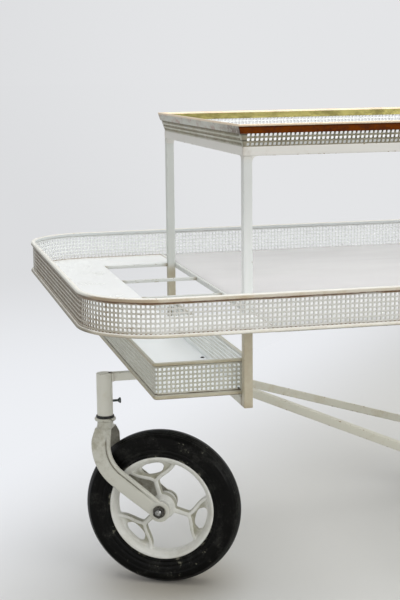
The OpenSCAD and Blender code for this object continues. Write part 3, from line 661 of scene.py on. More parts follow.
arms_low, arms_high = node_box("rear_arms")
arm_ends = (arms_low[0] - INTO_POST, arms_high[0] + INTO_POST)
arms = [bar(*((x, side * post_y, axle_z) for x in arm_ends)) for side in (-1, 1)]
add_piece("rear_arm_bars", joined(arms), low_paint, "cart", ["rear_arms"])
axle_end = rear_high[1]
JOURNAL_MM = 6.0
axle_bar = bar((axle_x, -post_high[1], axle_z), (axle_x, post_high[1], axle_z))
journal = np.array([(0, post_y), (JOURNAL_MM, post_y), (JOURNAL_MM, axle_end - 1), (JOURNAL_MM - 1, axle_end),
                    (0, axle_end)])
journals = [lathe(journal * [1, side], (axle_x, 0, axle_z), (0, 1, 0), 32) for side in (-1, 1)]
add_piece("axle_bar", joined([axle_bar] + journals), low_paint, "cart", ["rear_axle"])

# %% [markdown]
# ## Perforated sheet
# The gallery is sheet steel with several thousand small square holes. A picture of holes would fail in
# close views, and a Boolean for each hole would take minutes. Instead, one cell of the pattern is worked
# out, with its square hole as eight points, and the cells are laid out as arrays. The edge of each cell is
# shared with the next, so the sheet is one surface, and Solidify gives it its thickness and the walls of
# its holes.


# %% Perforated sheet
PITCH = 6.352
SHEET_MM = 1.2
HOLE_SHARE = 0.645
CORNER_SHARE = 0.12


def perforated(columns, rows, surface, low=0.0, high=0.0, ends=0.0, round_it=False):
    """A sheet of columns by rows of cells, laid by surface(u, v), with u and v counted in cells.

    Hole corners at (h, h) to (1-h, 1-h), each cut off by c. Every side of the hole makes a quad with a side
    of its cell, and every cut corner makes a triangle. low, high and ends are plain margins round the cells.
    """
    u_lines = np.arange(columns, dtype=float)
    if not round_it:
        u_lines = np.concatenate([[-ends], np.arange(columns + 1), [columns + ends]])
    v_lines = np.concatenate([[-low], np.arange(rows + 1), [rows + high]])
    lattice = np.stack(np.meshgrid(u_lines, v_lines, indexing="ij"), -1)
    number = np.arange(lattice.shape[0] * lattice.shape[1]).reshape(lattice.shape[:2])
    ahead = np.roll(number, -1, 0) if round_it else number[1:]
    here = number if round_it else number[:-1]
    a, b, c, d = here[:, :-1], ahead[:, :-1], ahead[:, 1:], here[:, 1:]
    cells = (slice(None) if round_it else slice(1, -1), slice(1, -1))
    h, cut = (1 - HOLE_SHARE) / 2, CORNER_SHARE
    loop = np.array([[h + cut, h], [1 - h - cut, h], [1 - h, h + cut], [1 - h, 1 - h - cut],
                     [1 - h - cut, 1 - h], [h + cut, 1 - h], [h, 1 - h - cut], [h, h + cut]])
    origin = np.stack(np.meshgrid(np.arange(columns), np.arange(rows), indexing="ij"), -1)
    holes = (origin[:, :, None] + loop).reshape(-1, 2)
    k = number.size + np.arange(columns * rows * 8).reshape(columns, rows, 8)
    here, there = [side[cells] for side in (a, b, c, d)], [side[cells] for side in (b, c, d, a)]
    quads = [np.stack([here[i], there[i], k[..., 2 * i + 1], k[..., 2 * i]], -1) for i in range(4)]
    tris = [np.stack([there[i], k[..., (2 * i + 2) % 8], k[..., 2 * i + 1]], -1) for i in range(4)]
    plain = np.ones(a.shape, bool)
    plain[cells] = False
    margins = np.stack([a, b, c, d], -1)[plain]
    u, v = np.concatenate([lattice.reshape(-1, 2), holes]).T
    faces = [np.concatenate([quad.reshape(-1, 4) for quad in quads] + [margins])]
    faces.append(np.concatenate([tri.reshape(-1, 3) for tri in tris]))
    return Shape(surface(u, v), faces)


def wall_of(size, centre, bottom, pitch_u):
    """Surface of an upright wall: u runs round its outline and v rises from the bottom."""
    def surface(u, v):
        points, _ = outline(*size, np.mod(u, outline_length(*size) / pitch_u) * pitch_u)
        return np.column_stack([points + centre, bottom + v * PITCH])
    return surface


# %% Gallery of the long tray
gallery_low, gallery_high = node_box("gallery_sides", "gallery_ends", "gallery_corners")
GALLERY_CORNER = gallery_high[0] - node_box("gallery_sides")[1][0]
gallery_size = (*(gallery_high - gallery_low)[:2], GALLERY_CORNER)
gallery_columns = round(outline_length(*gallery_size) / PITCH)
gallery_pitch = outline_length(*gallery_size) / gallery_columns
GALLERY_ROWS = 7
HOLES_BELOW_TOP = 1.2
CELLS_IN_RAIL = 0.3
holes_bottom = gallery_high[2] - HOLES_BELOW_TOP - GALLERY_ROWS * PITCH
gallery_wall = wall_of(gallery_size, (0, 0), holes_bottom, gallery_pitch)
gallery = perforated(gallery_columns, GALLERY_ROWS, gallery_wall, low=(holes_bottom - gallery_low[2]) / PITCH,
                     high=CELLS_IN_RAIL, round_it=True)
print("gallery", gallery_columns, "x", GALLERY_ROWS, "holes, pitch", round(gallery_pitch, 3))

# %% [markdown]
# The sheet was sprayed many years ago. Its face is a warm grey, greyer and browner towards the castor's
# corner where hands and luggage rubbed it. The walls of the holes are darker than the face and rusty at the
# castor's end, and painted pale on the far side as painted light. Dirt and rust stand in the joints under the
# rail and on the bead, and under the rail the dark line is also the rail's painted shadow.


# %% Enamel of the perforated sheet
WORN_END = (0.44, 0.56)
NO_WORN_END = (0.96, 1.26)
NEAR_FOOT = (0.4655, 0.480)


def sheet_enamel(name, clean, soiled, rust, worn=WORN_END, seams=()):
    """Face of the sheet. Soil gathers low down and over the castor's end, drawn out along the height. Each
    seam is a height and a half width in millimetres, where dirt and rust stand in a joint; under the rail the
    seam is also the rail's painted shadow."""
    paint = Paint(name)
    x, _, z = paint.axes()
    clouds = paint.noise(34, 5, 0.6, (1, 1, 2))
    specks = paint.noise(5, 6, 0.7)
    castor_end = paint.step(-x + clouds * 0.12, *worn)
    low = 1 - paint.step(z, *NEAR_FOOT)
    soil = paint.step(clouds * 0.6 + specks * 0.25 + castor_end * 0.34 + low * 0.16, 0.45, 0.86)
    spots = paint.step(specks + castor_end * 0.10, 0.66, 0.74)
    colour = paint.blend(soil, clean, soiled)
    colour = paint.blend(spots * 0.8, colour, rust)
    # Each seam paints a dark line; under the gallery's rail it is rust and the rail's painted shadow.
    for middle, half in seams:
        patches = paint.seam(z, middle, half, specks, 1.6) * paint.step(clouds, 0.15, 0.6)
        colour = paint.blend(patches, colour, rust)
    relief = specks * 0.5 - spots
    return paint.surface(Base_Color=colour, Roughness=specks * 0.25 + 0.36,
                         Normal=paint.bump(relief, 0.3, 0.1))


def plain_rough(name, colour_one, colour_two, size_mm, roughness, metallic=0.0):
    """Two colours in clouds of one size, for small and hidden pieces."""
    paint = Paint(name)
    clouds = paint.noise(size_mm, 5, 0.65)
    colour = paint.blend(paint.step(clouds, 0.36, 0.64), colour_one, colour_two)
    return paint.surface(Base_Color=colour, Roughness=clouds * 0.3 + (roughness - 0.15), Metallic=metallic,
                         Normal=paint.bump(clouds, 0.3, 0.1))


def cut_edges(name, clean, rusty, pale):
    """Walls of the holes: rusty at the castor's end, and on the far side painted as pale as the inner face,
    as painted light on walls in shade.
    """
    paint = Paint(name)
    x, y, _ = paint.axes()
    specks = paint.noise(8, 5, 0.65)
    colour = paint.blend(paint.step(-x + specks * 0.06, 0.44, 0.55), clean, rusty)
    colour = paint.blend(paint.step(y + specks * 0.05, 0.23, 0.31), colour, pale)
    return paint.surface(Base_Color=colour, Roughness=specks * 0.3 + 0.45)


BEAD_MM = 5.2
rail_low, rail_high = node_box("rail_bars", "rail_corners")
bead_low, bead_high = node_box("bead_bars", "bead_corners")
bead_top = gallery_low[2] + BEAD_MM
# The seam under the rail is rust and the rail's painted shadow; the seam at the bead is dirt and rust.
sheet_paint = sheet_enamel("sheet_enamel", srgb(210, 209, 203), srgb(178, 172, 158), srgb(124, 94, 60),
                           seams=((rail_low[2], 1.7), (bead_top, 0.9)))
# The inner faces are painted whiter than the outer face, as painted light on faces the lamps leave dim.
lightened_inner_paint = enamel("lightened_inner_enamel", srgb(248, 251, 250), srgb(240, 243, 241), srgb(196, 190, 174), 0.3, 0.1)
# The pale far-side colour of the hole walls is painted light.
hole_edge = cut_edges("hole_edges", srgb(164, 158, 144), srgb(92, 78, 60), srgb(240, 243, 242))
add_sheet("gallery_sheet", gallery, SHEET_MM, [sheet_paint, lightened_inner_paint, hole_edge], "cart",
          ["gallery_sides", "gallery_ends", "gallery_corners"])

# %% [markdown]
# ## Rail and bead of the gallery
# The sheet's top edge is rolled into a rail and its foot carries a half-round bead. Both are one closed
# section carried round the same outline as the sheet. Each point keeps how far up and how far out it faces,
# so the finish can put pale worn enamel on top, tan on the outer face, and rust with a painted shadow line
# along the underside. At the castor's end the outer face is painted dark below, as painted shade.


# %% Rail and bead of the gallery
RAIL_RADIUS = 2.4
BEAD_SUNK = SHEET_MM * 0.7


def up_and_out(section):
    """How far up and out each point of a section lies from its middle, from -1 to 1."""
    middle = (section.max(0) + section.min(0)) / 2
    share = (section - middle) / ((section.max(0) - section.min(0)) / 2)
    return {"out": share[:, 0], "up": share[:, 1]}


def rolled_rail(low, high, wall_high, corner_radius, centre, inside=3.0):
    """The rail on a wall: a rounded section that stands out from the sheet, and by inside into the tray."""
    stand = high[0] - wall_high[0]
    section, _ = rounded_section(stand + SHEET_MM + inside, high[2] - low[2], RAIL_RADIUS, 0.3, 5)
    section += [(stand - SHEET_MM - inside) / 2, (low[2] + high[2]) / 2]
    size = (*(np.array(high) - low)[:2] - 2 * stand, corner_radius)
    return swept_ring(size, centre, section, **up_and_out(section))


def half_round(low, top, high, wall_high, corner_radius, centre):
    """The bead at a wall's foot: u = stand cos a, v = half height sin a, closed behind inside the sheet."""
    stand = high[0] - wall_high[0]
    half = (top - low[2]) / 2
    angle = np.linspace(-QUARTER, QUARTER, 13)
    arc = np.column_stack([stand * np.cos(angle), low[2] + half + half * np.sin(angle)])
    section = np.concatenate([arc, [[-BEAD_SUNK, top], [-BEAD_SUNK, low[2]]]])
    size = (*(np.array(high) - low)[:2] - 2 * stand, corner_radius)
    return swept_ring(size, centre, section, **up_and_out(section))


def worn_rail_enamel(name, top_tone, face_tone, face_worn, inner_tone, rust, end_top):
    """Top cream and thin, outer face tan and blotched, inner face pale, and the lower arris rust-brown, rust
    and a painted shadow line. The castor's end is most worn, and its outer face is end_top above and
    painted dark below, as painted shade on that end."""
    paint = Paint(name)
    x = paint.axes()[0]
    clouds = paint.noise(45, 5, 0.62)
    specks = paint.noise(6, 6, 0.7)
    castor_end = paint.step(-x + clouds * 0.1, 0.36, 0.52)
    face = 1 - paint.step(paint.mark("up") + specks * 0.35 - 0.17, 0.42, 0.78)
    rusty = 1 - paint.step(paint.mark("up") + specks * 0.7 - 0.35, -0.95, -0.25)
    rubbed = paint.step(clouds * 0.7 + specks * 0.3 + castor_end * 0.22, 0.44, 0.66)
    pits = paint.step(specks + castor_end * 0.08, 0.64, 0.72)
    inner = 1 - paint.step(paint.mark("out"), -0.4, 0.1)
    side = paint.blend(rubbed, face_tone, face_worn)
    side = paint.blend(paint.step(-x + clouds * 0.06, 0.43, 0.51) * 0.35, side, rust)
    side = paint.blend(inner, side, inner_tone)
    colour = paint.blend(face, paint.blend(pits * 0.7, top_tone, face_worn), side)
    # Painted shade: the castor's end of the outer face is dark below end_top.
    end_face = paint.step(-x, 0.500, 0.514) * paint.step(paint.mark("out"), -0.1, 0.5)
    end_shade_tone = paint.blend(paint.step(paint.mark("up") + specks * 0.3, -0.1, 0.4), srgb(88, 82, 64), end_top)
    colour = paint.blend(end_face * 0.85, colour, end_shade_tone)
    # The lower arris is rust and a painted shadow line beneath the rail and the bead.
    colour = paint.blend(paint.step(rusty + pits * 0.3, 0.15, 1.0) * (1 - inner * 0.7), colour, rust)
    return paint.surface(Base_Color=colour, Roughness=specks * 0.25 + 0.33,
                         Normal=paint.bump(specks * 0.7 - pits, 0.35, 0.12))


rail_paint = worn_rail_enamel("rail_enamel", srgb(230, 228, 220), srgb(206, 198, 182), srgb(188, 172, 146),
                              srgb(212, 216, 215), srgb(96, 62, 34), srgb(226, 226, 218))
bead_paint = worn_rail_enamel("bead_enamel", srgb(236, 234, 226), srgb(228, 225, 214), srgb(206, 198, 180),
                              srgb(214, 216, 212), srgb(128, 116, 96), srgb(128, 122, 104))
add_piece("gallery_rail", rolled_rail(rail_low, rail_high, gallery_high, GALLERY_CORNER, (0, 0)), rail_paint,
          "cart", ["rail_bars", "rail_corners"])
add_piece("gallery_bead", half_round(bead_low, bead_top, bead_high, gallery_high, GALLERY_CORNER, (0, 0)),
          bead_paint, "cart", ["bead_bars", "bead_corners"])

# %% [markdown]
# ## Floor of the long tray
# The floor is a white sheet at both ends and glass in the middle. The sheets' shape in the CAD model is
# right, so they only get a finish. It is darker and browner along the foot of the gallery and round the
# posts, and the distance to the wall is worked out in the material: how far a point is from the
# rounded rectangle, as length(max(|p| - half size + radius, 0)) - radius.


# %% Floor of the long tray
def floor_enamel():
    """White enamel, darker and browner by the wall and by the glass, a yellow haze further in, and fine
    scratches.
    """
    paint = Paint("floor_sheet_enamel")
    x, y, _ = paint.axes()
    half_x, half_y = gallery_high[0] * MM, gallery_high[1] * MM
    radius = GALLERY_CORNER * MM
    past_x = paint.maths("MAXIMUM", abs(x) - (half_x - radius), 0.0)
    past_y = paint.maths("MAXIMUM", abs(y) - (half_y - radius), 0.0)
    inside = radius - paint.maths("SQRT", past_x * past_x + past_y * past_y)
    to_wall = paint.maths("MINIMUM", inside, paint.maths("MINIMUM", half_x - abs(x), half_y - abs(y)))
    clouds = paint.noise(40, 5, 0.6)
    specks = paint.noise(5, 6, 0.7)
    # Darker and browner along the foot of the wall.
    grime = 1 - paint.step(to_wall - clouds * 0.008 - specks * 0.004, -0.003, 0.006)
    haze = 1 - paint.step(to_wall + clouds * 0.04, 0.015, 0.065)
    to_glass = abs(x) - node_box("floor_sheet_right")[0][0] * MM
    seam = 1 - paint.step(to_glass - specks * 0.004, -0.001, 0.003)
    scratch = paint.step(paint.noise(3, 5, 0.7, (9, 1, 1)), 0.66, 0.80)
    colour = paint.blend(paint.step(clouds, 0.45, 0.75) * 0.6, srgb(239, 241, 240), srgb(228, 229, 225))
    colour = paint.blend(haze * 0.45, colour, srgb(214, 210, 198))
    colour = paint.blend(grime * 0.9, colour, srgb(132, 108, 78))
    colour = paint.blend(seam * 0.6, colour, srgb(140, 122, 96))
    colour = paint.blend(scratch * 0.4, colour, srgb(190, 184, 170))
    return paint.surface(Base_Color=colour, Roughness=clouds * 0.15 + grime * 0.25 + 0.18,
                         Normal=paint.bump(specks * 0.3 - scratch * 0.3, 0.2, 0.08))


floor_paint = floor_enamel()
for node in ("floor_sheet_left", "floor_sheet_right"):
    dress(node, floor_paint)

# %% [markdown]
# ## Glass
# Both panes are thick milky glass with ground edges. A pane is a stack of rectangles that draw in at the
# bottom and the top, so its edge catches the light. It shows the gallery only as a short soft reflection, and
# hardly anything below it. It throws no shadow, because the lamps' light comes through it.


# %% Glass
def milky_glass(name, clean, hazy):
    """Two near whites in wide clouds, whiter along the near side, wiped streaks in the gloss, and some light
    let through."""
    paint = Paint(name)
    clouds = paint.noise(160, 5, 0.6, (2, 1, 1))
    streaks = paint.noise(40, 5, 0.65, (6, 1, 1))
    colour = paint.blend(paint.step(clouds * 0.7 + streaks * 0.3, 0.38, 0.64), clean, hazy)
    colour = paint.blend(paint.step(-paint.axes()[1], 0.10, 0.18), colour, srgb(240, 241, 240))
    return paint.surface(Base_Color=colour, Roughness=streaks * 0.12 + 0.16, IOR=1.45,
                         Transmission_Weight=0.2, Normal=paint.bump(streaks, 0.04, 0.2))


PANE_EDGE = 1.2


def pane(low, high):
    """Stacked rectangles: the outline draws in by the edge's radius at the bottom and the top."""
    low, high = np.array(low, float), np.array(high, float)
    middle, half = (low + high)[:2] / 2, (high - low)[:2] / 2
    angle = np.linspace(0, QUARTER, 4)
    inset = PANE_EDGE * (1 - np.sin(angle))
    lift = PANE_EDGE * (1 - np.cos(angle))
    insets = np.concatenate([inset, inset[::-1]])
    heights = np.concatenate([low[2] + lift, high[2] - lift[::-1]])
    level = middle + CORNER_SIGNS * (half - insets[:, None, None])
    height = np.broadcast_to(heights[:, None, None], (*level.shape[:2], 1))
    return skin(np.concatenate([level, height], -1))


upper_milk = milky_glass("upper_milky_glass", srgb(226, 227, 228), srgb(218, 219, 220))
tray_milk = milky_glass("tray_milky_glass", srgb(230, 228, 227), srgb(223, 221, 220))
for node, milk in (("upper_glass", upper_milk), ("tray_glass", tray_milk)):
    add_piece(node + "_pane", pane(*node_box(node)), milk, "cart", [node]).visible_shadow = False

# %% [markdown]
# ## Bearers and cell dividers
# Below the floor, angles carry the glass and four straps divide the castor's end into bottle cells. They
# are flat bars with soft arrises, finished in the old enamel of the underside.


# %% Bearers and cell dividers
def flat_bar(low, high, dirty=(1, 1)):
    """A box from the CAD model's numbers as a bar with rounded arrises, along its longer level side."""
    low, high = np.array(low, float), np.array(high, float)
    middle = (low + high) / 2
    along = 0 if high[0] - low[0] > high[1] - low[1] else 1
    start, end = middle.copy(), middle.copy()
    start[along], end[along] = low[along], high[along]
    return bar(start, end, (high - low)[1 - along], high[2] - low[2], dirty=dirty, near=0.6)


divider_low, divider_high = node_box("cell_dividers")
opening_low, opening_high = node_box("opening_bearer")
bearer_low, bearer_high = node_box("glass_bearers")
ledge_low, ledge_high = node_box("glass_ledges")
glass_end = node_box("tray_glass")[1][0]
DIVIDER_MM = 5
DIVIDER_INTO_EDGE = 1.0
DIVIDER_BELOW_FLOOR = 0.2
LEDGE_MM = 12
divider_y = np.linspace(divider_low[1], divider_high[1] - DIVIDER_MM, 4)
divider_top = divider_high[2] - DIVIDER_BELOW_FLOOR
divider_left = divider_low[0] - DIVIDER_INTO_EDGE
dividers = [flat_bar((divider_left, y, divider_low[2]), (end, y + DIVIDER_MM, divider_top))
            for y, end in zip(divider_y, (post_low[0], divider_high[0], divider_high[0], post_low[0]))]
bearers = [flat_bar(opening_low, opening_high)]
for side in (-1, 1):
    end = sorted([side * bearer_high[0], side * glass_end])
    ledge = sorted([side * (glass_end + 1), side * (glass_end - LEDGE_MM)])
    wall = sorted([side * ledge_high[1], side * (ledge_high[1] - LEDGE_MM)])
    for low, high in (((end[0], bearer_low[1], bearer_low[2]), (end[1], bearer_high[1], bearer_high[2])),
                      ((ledge[0], bearer_low[1], ledge_low[2]), (ledge[1], bearer_high[1], ledge_high[2])),
                      ((ledge_low[0], wall[0], ledge_low[2]), (ledge_high[0], wall[1], ledge_high[2]))):
        bearers.append(flat_bar(low, high, dirty=(0, 0)))
divider_paint = enamel("divider_enamel", srgb(214, 216, 212), srgb(200, 200, 190), srgb(150, 140, 118), 0.4,
                       0.1)
add_piece("cell_divider_bars", joined(dividers), divider_paint, "cart", ["cell_dividers"])
add_piece("tray_bearers", joined(bearers), divider_paint, "cart",
          ["opening_bearer", "glass_bearers", "glass_ledges"])

# %% [markdown]
# ## Band of the upper tray
# The upper tray's edge is the same perforated sheet, in four strips that lean outwards and meet in mitres.
# Each strip is the flat pattern laid on a leaning plane, and only its two end margins stretch with the
# height to reach the mitre.


# %% Band of the upper tray
band_low, band_high = node_box("upper_band_sides", "upper_band_ends")
LEAN_MM = 8.5
BAND_RISE_MM = 30.5
BAND_ROWS = 3


def leaning_strip(half_length, half_across, columns, heading, outward):
    """P(u, v): along the heading by u, outwards and up by v. The end margins follow the mitre."""
    def surface(u, v):
        height = band_low[2] + v * PITCH
        share = (height - band_low[2]) / BAND_RISE_MM
        along = (u - columns / 2) * PITCH
        mitre = half_length + LEAN_MM * share
        along = np.where(u < -0.01, -mitre, np.where(u > columns + 0.01, mitre, along))
        across = half_across + LEAN_MM * share
        level = along[:, None] * np.array(heading) + across[:, None] * np.array(outward)
        return np.column_stack([level, height])
    return surface


MITRE_HALF = 0.0009
NEAR_END = (0.16, 0.34)
JOINT_UNDER_BRASS = 1.2
JOINT_ON_FRAME = 8.5


def short_side(paint):
    """1 on the upper tray's two ends and 0 on its long sides. They meet where |x| - |y| is the same as at
    the brass's corners."""
    x, y, _ = paint.axes()
    mitre = (brass_high[0] - brass_high[1]) * MM
    return paint.step(abs(x) - abs(y), mitre - MITRE_HALF, mitre + MITRE_HALF)


def band_enamel():
    """Dark olive on the long sides, a painted shadow of the leaning brass, paler at the ends, with black dirt
    under the brass and on the frame."""
    paint = Paint("band_enamel")
    _, y, z = paint.axes()
    clouds = paint.noise(30, 5, 0.6)
    specks = paint.noise(4, 6, 0.7)
    end = short_side(paint)
    cloudy = paint.step(clouds * 0.7 + specks * 0.3, 0.4, 0.62)
    # Painted shadow: the long sides are dark olive where the leaning brass shades the sheet.
    side = paint.blend(cloudy, srgb(150, 144, 124), srgb(120, 114, 92))
    pale = paint.blend(cloudy, srgb(206, 204, 194), srgb(182, 178, 160))
    near = paint.step(-y + clouds * 0.12, *NEAR_END)
    pale = paint.blend(near * 0.7, pale, srgb(160, 160, 142))
    colour = paint.blend(end, side, pale)
    for middle in (brass_low[2] - JOINT_UNDER_BRASS, band_low[2] + JOINT_ON_FRAME):
        seam = paint.seam(z, middle, 1.0, specks, 1.2)
        colour = paint.blend(seam * (0.8 - end * 0.25), colour, srgb(62, 56, 42))
    return paint.surface(Base_Color=colour, Roughness=specks * 0.25 + 0.38,
                         Normal=paint.bump(specks, 0.3, 0.1))


MARGIN_MM = 6.0
BAND_ON_FRAME = 0.4
brass_low, brass_high = node_box("brass_channel_sides", "brass_channel_ends")
ring_half = (ring_high - ring_low)[:2] / 2 - BAND_ON_FRAME
cells_up = (band_high[2] - band_low[2]) / PITCH
strips = []
for outward, heading in zip(SIDE_OUT, SIDE_AHEAD):
    along, across = ring_half if heading[0] else ring_half[::-1]
    columns = int((2 * along - MARGIN_MM) // PITCH)
    surface = leaning_strip(along, across, columns, heading, outward)
    strips.append(perforated(columns, BAND_ROWS, surface, high=cells_up - BAND_ROWS, ends=0.5))
band_paint = band_enamel()
band_edge = plain_rough("band_hole_edges", srgb(138, 132, 112), srgb(108, 100, 80), 12, 0.6)
add_sheet("upper_band_sheet", joined(strips), SHEET_MM, [band_paint, lightened_inner_paint, band_edge], "cart",
          ["upper_band_sides", "upper_band_ends"])

# %% [markdown]
# ## Brass edge
# A folded brass channel covers the band's top edge. Outside it is dull red-brown, its lip is worn to pale
# metal and painted in its highlight's pale colour, and inside it shows more gold. One U-shaped section is
# carried round the mitred rectangle.


# %% Brass edge
CHANNEL_WEB = 1.5
CHANNEL_WALL = 0.9
CHANNEL_WIDE = 4.0
CHANNEL_BEND = 1.2
LEG_STEPS = 12


def brass_section():
    """Outer loop of a folded strip with rounded bends, then back along the inside of its two walls. The
    marks are taken before the whole section leans as the band does."""
    top = brass_high[2] - 0.1
    bottom = brass_low[2]
    angle = np.linspace(0, QUARTER, 5)
    outer = CHANNEL_WIDE / 2
    arc = CHANNEL_BEND * np.column_stack([np.cos(angle), np.sin(angle)])
    right = [outer - CHANNEL_BEND, top - CHANNEL_BEND] + arc
    left = right[::-1] * [-1, 1]
    inner = outer - CHANNEL_WALL
    loop = np.concatenate([[[outer, bottom]], right, left, [[-outer, bottom], [-inner, bottom],
                           [-inner, top - CHANNEL_WEB], [inner, top - CHANNEL_WEB], [inner, bottom]]])
    marks = up_and_out(loop)
    loop[:, 0] += (loop[:, 1] - top) * LEAN_MM / BAND_RISE_MM
    return loop, marks


def mitred_ring(half, section, **marks):
    """A section carried round a rectangle. At a corner its way outwards is the diagonal."""
    middle = CORNER_SIGNS * half
    steps = np.arange(LEG_STEPS)[:, None] / LEG_STEPS
    legs = [here + (there - here) * steps for here, there in zip(middle, np.roll(middle, -1, 0))]
    across = np.repeat(SIDE_OUT, LEG_STEPS, 0)
    across[::LEG_STEPS] = CORNER_SIGNS
    level = np.concatenate(legs)[:, None] + section[None, :, :1] * across[:, None]
    height = np.broadcast_to(section[:, 1], level.shape[:2])[..., None]
    return skin(np.concatenate([level, height], -1), ring=True, **marks)


def tarnished_brass():
    """Red-brown outside and darker under the lip, gold inside, and a rubbed lip, worn metal painted pale as a
    highlight. The ends are dulled to grey in blotches, most near the castor's near corner, with a dark line
    in each mitre."""
    paint = Paint("tarnished_brass")
    y = paint.axes()[1]
    clouds = paint.noise(30, 6, 0.65, (1, 1, 0.5))
    specks = paint.noise(4, 6, 0.7)
    outside = paint.step(paint.mark("out"), 0.1, 0.5)
    lip = paint.step(paint.mark("up") + specks * 0.1 - 0.05, 0.48, 0.62)
    red = paint.blend(paint.step(clouds * 0.6 + specks * 0.4, 0.38, 0.62), srgb(118, 58, 14), srgb(78, 32, 3))
    gold = paint.blend(paint.step(clouds, 0.40, 0.64), srgb(136, 129, 78), srgb(110, 103, 58))
    end = short_side(paint)
    tarnish = clouds * 0.5 + specks * 0.5
    blotch = paint.blend(paint.step(tarnish, 0.50, 0.60), srgb(184, 184, 172), srgb(172, 146, 136))
    near = paint.step(-y + clouds * 0.12, *NEAR_END)
    spotted = paint.step(clouds * 0.35 + specks * 0.65, 0.40, 0.52)
    soiled = paint.blend(spotted, srgb(152, 150, 130), srgb(84, 66, 50))
    blotch = paint.blend(near * 0.85, blotch, soiled)
    under_lip = paint.step(paint.mark("up"), 0.12, 0.32)
    red = paint.blend(under_lip * 0.6, red, srgb(48, 18, 2))
    red = paint.blend(end, red, blotch)
    red = paint.blend(1 - paint.step(abs(end - 0.5), 0.40, 0.49), red, srgb(44, 32, 20))
    colour = paint.blend(outside, gold, red)
    # Painted highlight: the worn lip gets the pale colour of its highlight.
    colour = paint.blend(lip * 0.9, colour, srgb(232, 214, 188))
    dull = paint.step(tarnish, 0.40, 0.60)
    return paint.surface(Base_Color=colour, Metallic=1.0 - dull * 0.2 - end * outside * 0.4,
                         Roughness=0.30 + dull * 0.2 + lip * 0.1, Normal=paint.bump(specks, 0.25, 0.1))


section, section_marks = brass_section()
brass = tarnished_brass()
brass_half = brass_high[:2] - CHANNEL_WIDE / 2
add_piece("brass_edge", mitred_ring(brass_half, section, **section_marks), brass, "cart",
          ["brass_channel_sides", "brass_channel_ends"])

# %% [markdown]
# ## Bottle tray
# Under the open cells hangs a narrow tray that carries the bottles' feet. It is made as the gallery is, from
# perforated sheet with a rail and a bead, but its rail stands out on one side only, and its enamel is more
# olive, because it never saw a cloth. Small dark screws show on its white floor and on its two ends.


# %% Bottle tray
tray_low, tray_high = node_box("bottle_tray_sides", "bottle_tray_ends")
TRAY_CORNER = tray_high[0] - node_box("bottle_tray_sides")[1][0]
TRAY_ROWS = 6
HOLES_BELOW_RIM = 1.8
WALL_IN_RIM = 0.4
tray_size = (*(tray_high - tray_low)[:2], TRAY_CORNER)
tray_centre = (tray_low + tray_high)[:2] / 2
tray_columns = round(outline_length(*tray_size) / PITCH)
tray_pitch = outline_length(*tray_size) / tray_columns
rim_low, rim_high = node_box("bottle_tray_rim")
tray_bead_low, tray_bead_high = node_box("bottle_tray_bead")
tray_holes = rim_low[2] - HOLES_BELOW_RIM - TRAY_ROWS * PITCH
tray_wall = wall_of(tray_size, tray_centre, tray_holes, tray_pitch)
tray_sheet = perforated(tray_columns, TRAY_ROWS, tray_wall, low=(tray_holes - tray_low[2]) / PITCH,
                        high=(HOLES_BELOW_RIM + WALL_IN_RIM) / PITCH, round_it=True)
olive_paint = sheet_enamel("tray_enamel", srgb(196, 195, 182), srgb(178, 174, 156), srgb(84, 64, 40),
                           NO_WORN_END, seams=((tray_bead_high[2] + 0.4, 1.0),))
olive_rail = worn_rail_enamel("tray_rim_enamel", srgb(206, 203, 188), srgb(192, 186, 164),
                              srgb(176, 166, 140), srgb(212, 212, 204), srgb(104, 88, 64),
                              srgb(206, 203, 188))
# The tray's hole walls are painted pale, as painted light inside the tray.
tray_edge = plain_rough("tray_hole_edges", srgb(222, 223, 216), srgb(208, 208, 198), 12, 0.6)
add_sheet("bottle_tray_sheet", tray_sheet, SHEET_MM, [olive_paint, lightened_inner_paint, tray_edge], "cart",
          ["bottle_tray_sides", "bottle_tray_ends"])
tray_rail = rolled_rail(rim_low, rim_high, tray_high, TRAY_CORNER, tray_centre, inside=0.0)
add_piece("bottle_tray_rail", tray_rail, olive_rail, "cart", ["bottle_tray_rim"])
tray_foot = half_round(tray_bead_low, tray_bead_high[2], tray_bead_high, tray_high, TRAY_CORNER, tray_centre)
add_piece("bottle_tray_foot", tray_foot, olive_rail, "cart", ["bottle_tray_bead"])
dress("bottle_tray_floor", white_paint)
dress("bottle_tray_spacers", low_paint)
black_screw = plain_rough("blackened_screw", srgb(58, 56, 52), srgb(36, 34, 32), 2, 0.45, 0.6)
# Each head is a radius and a height above the face it stands on.
FLOOR_HEAD = [(0, 0.4), (0.9, 0.5), (1.2, 1.3), (2.6, 1.1), (3.3, 0.3), (3.3, -0.3), (0, -0.3)]
FLOOR_SCREW_X, FLOOR_SCREW_Y = -276.0, 10.0
END_HEAD = np.array([(0, 0), (0.6, 0), (1.1, -0.6), (1.1, -3.4), (0, -3.4)])
END_SCREW_X = -283.5
ABOVE_BEAD, IN_BEAD = 3.4, 2.0
tray_floor_top = node_box("bottle_tray_floor")[1][2]
end_face = -tray_bead_low[1] - 0.1
screws = [lathe(FLOOR_HEAD, (FLOOR_SCREW_X, FLOOR_SCREW_Y, tray_floor_top), steps=24)]
for side in (-1, 1):
    for z in (tray_bead_high[2] + ABOVE_BEAD, tray_bead_low[2] + IN_BEAD):
        screws.append(lathe(END_HEAD * [1, side], (END_SCREW_X, side * end_face, z), (0, 1, 0), 20))
add_piece("tray_screws", joined(screws), black_screw, "cart")

# %% [markdown]
# ## Head tube
# The castor's stem turns in an upright tube at the end of the arm. It is lathe work: one profile turned
# about the swivel's axis. A raised collar stands for the weld where the square arm meets the round tube,
# and a small set screw with a flared head sticks out below.


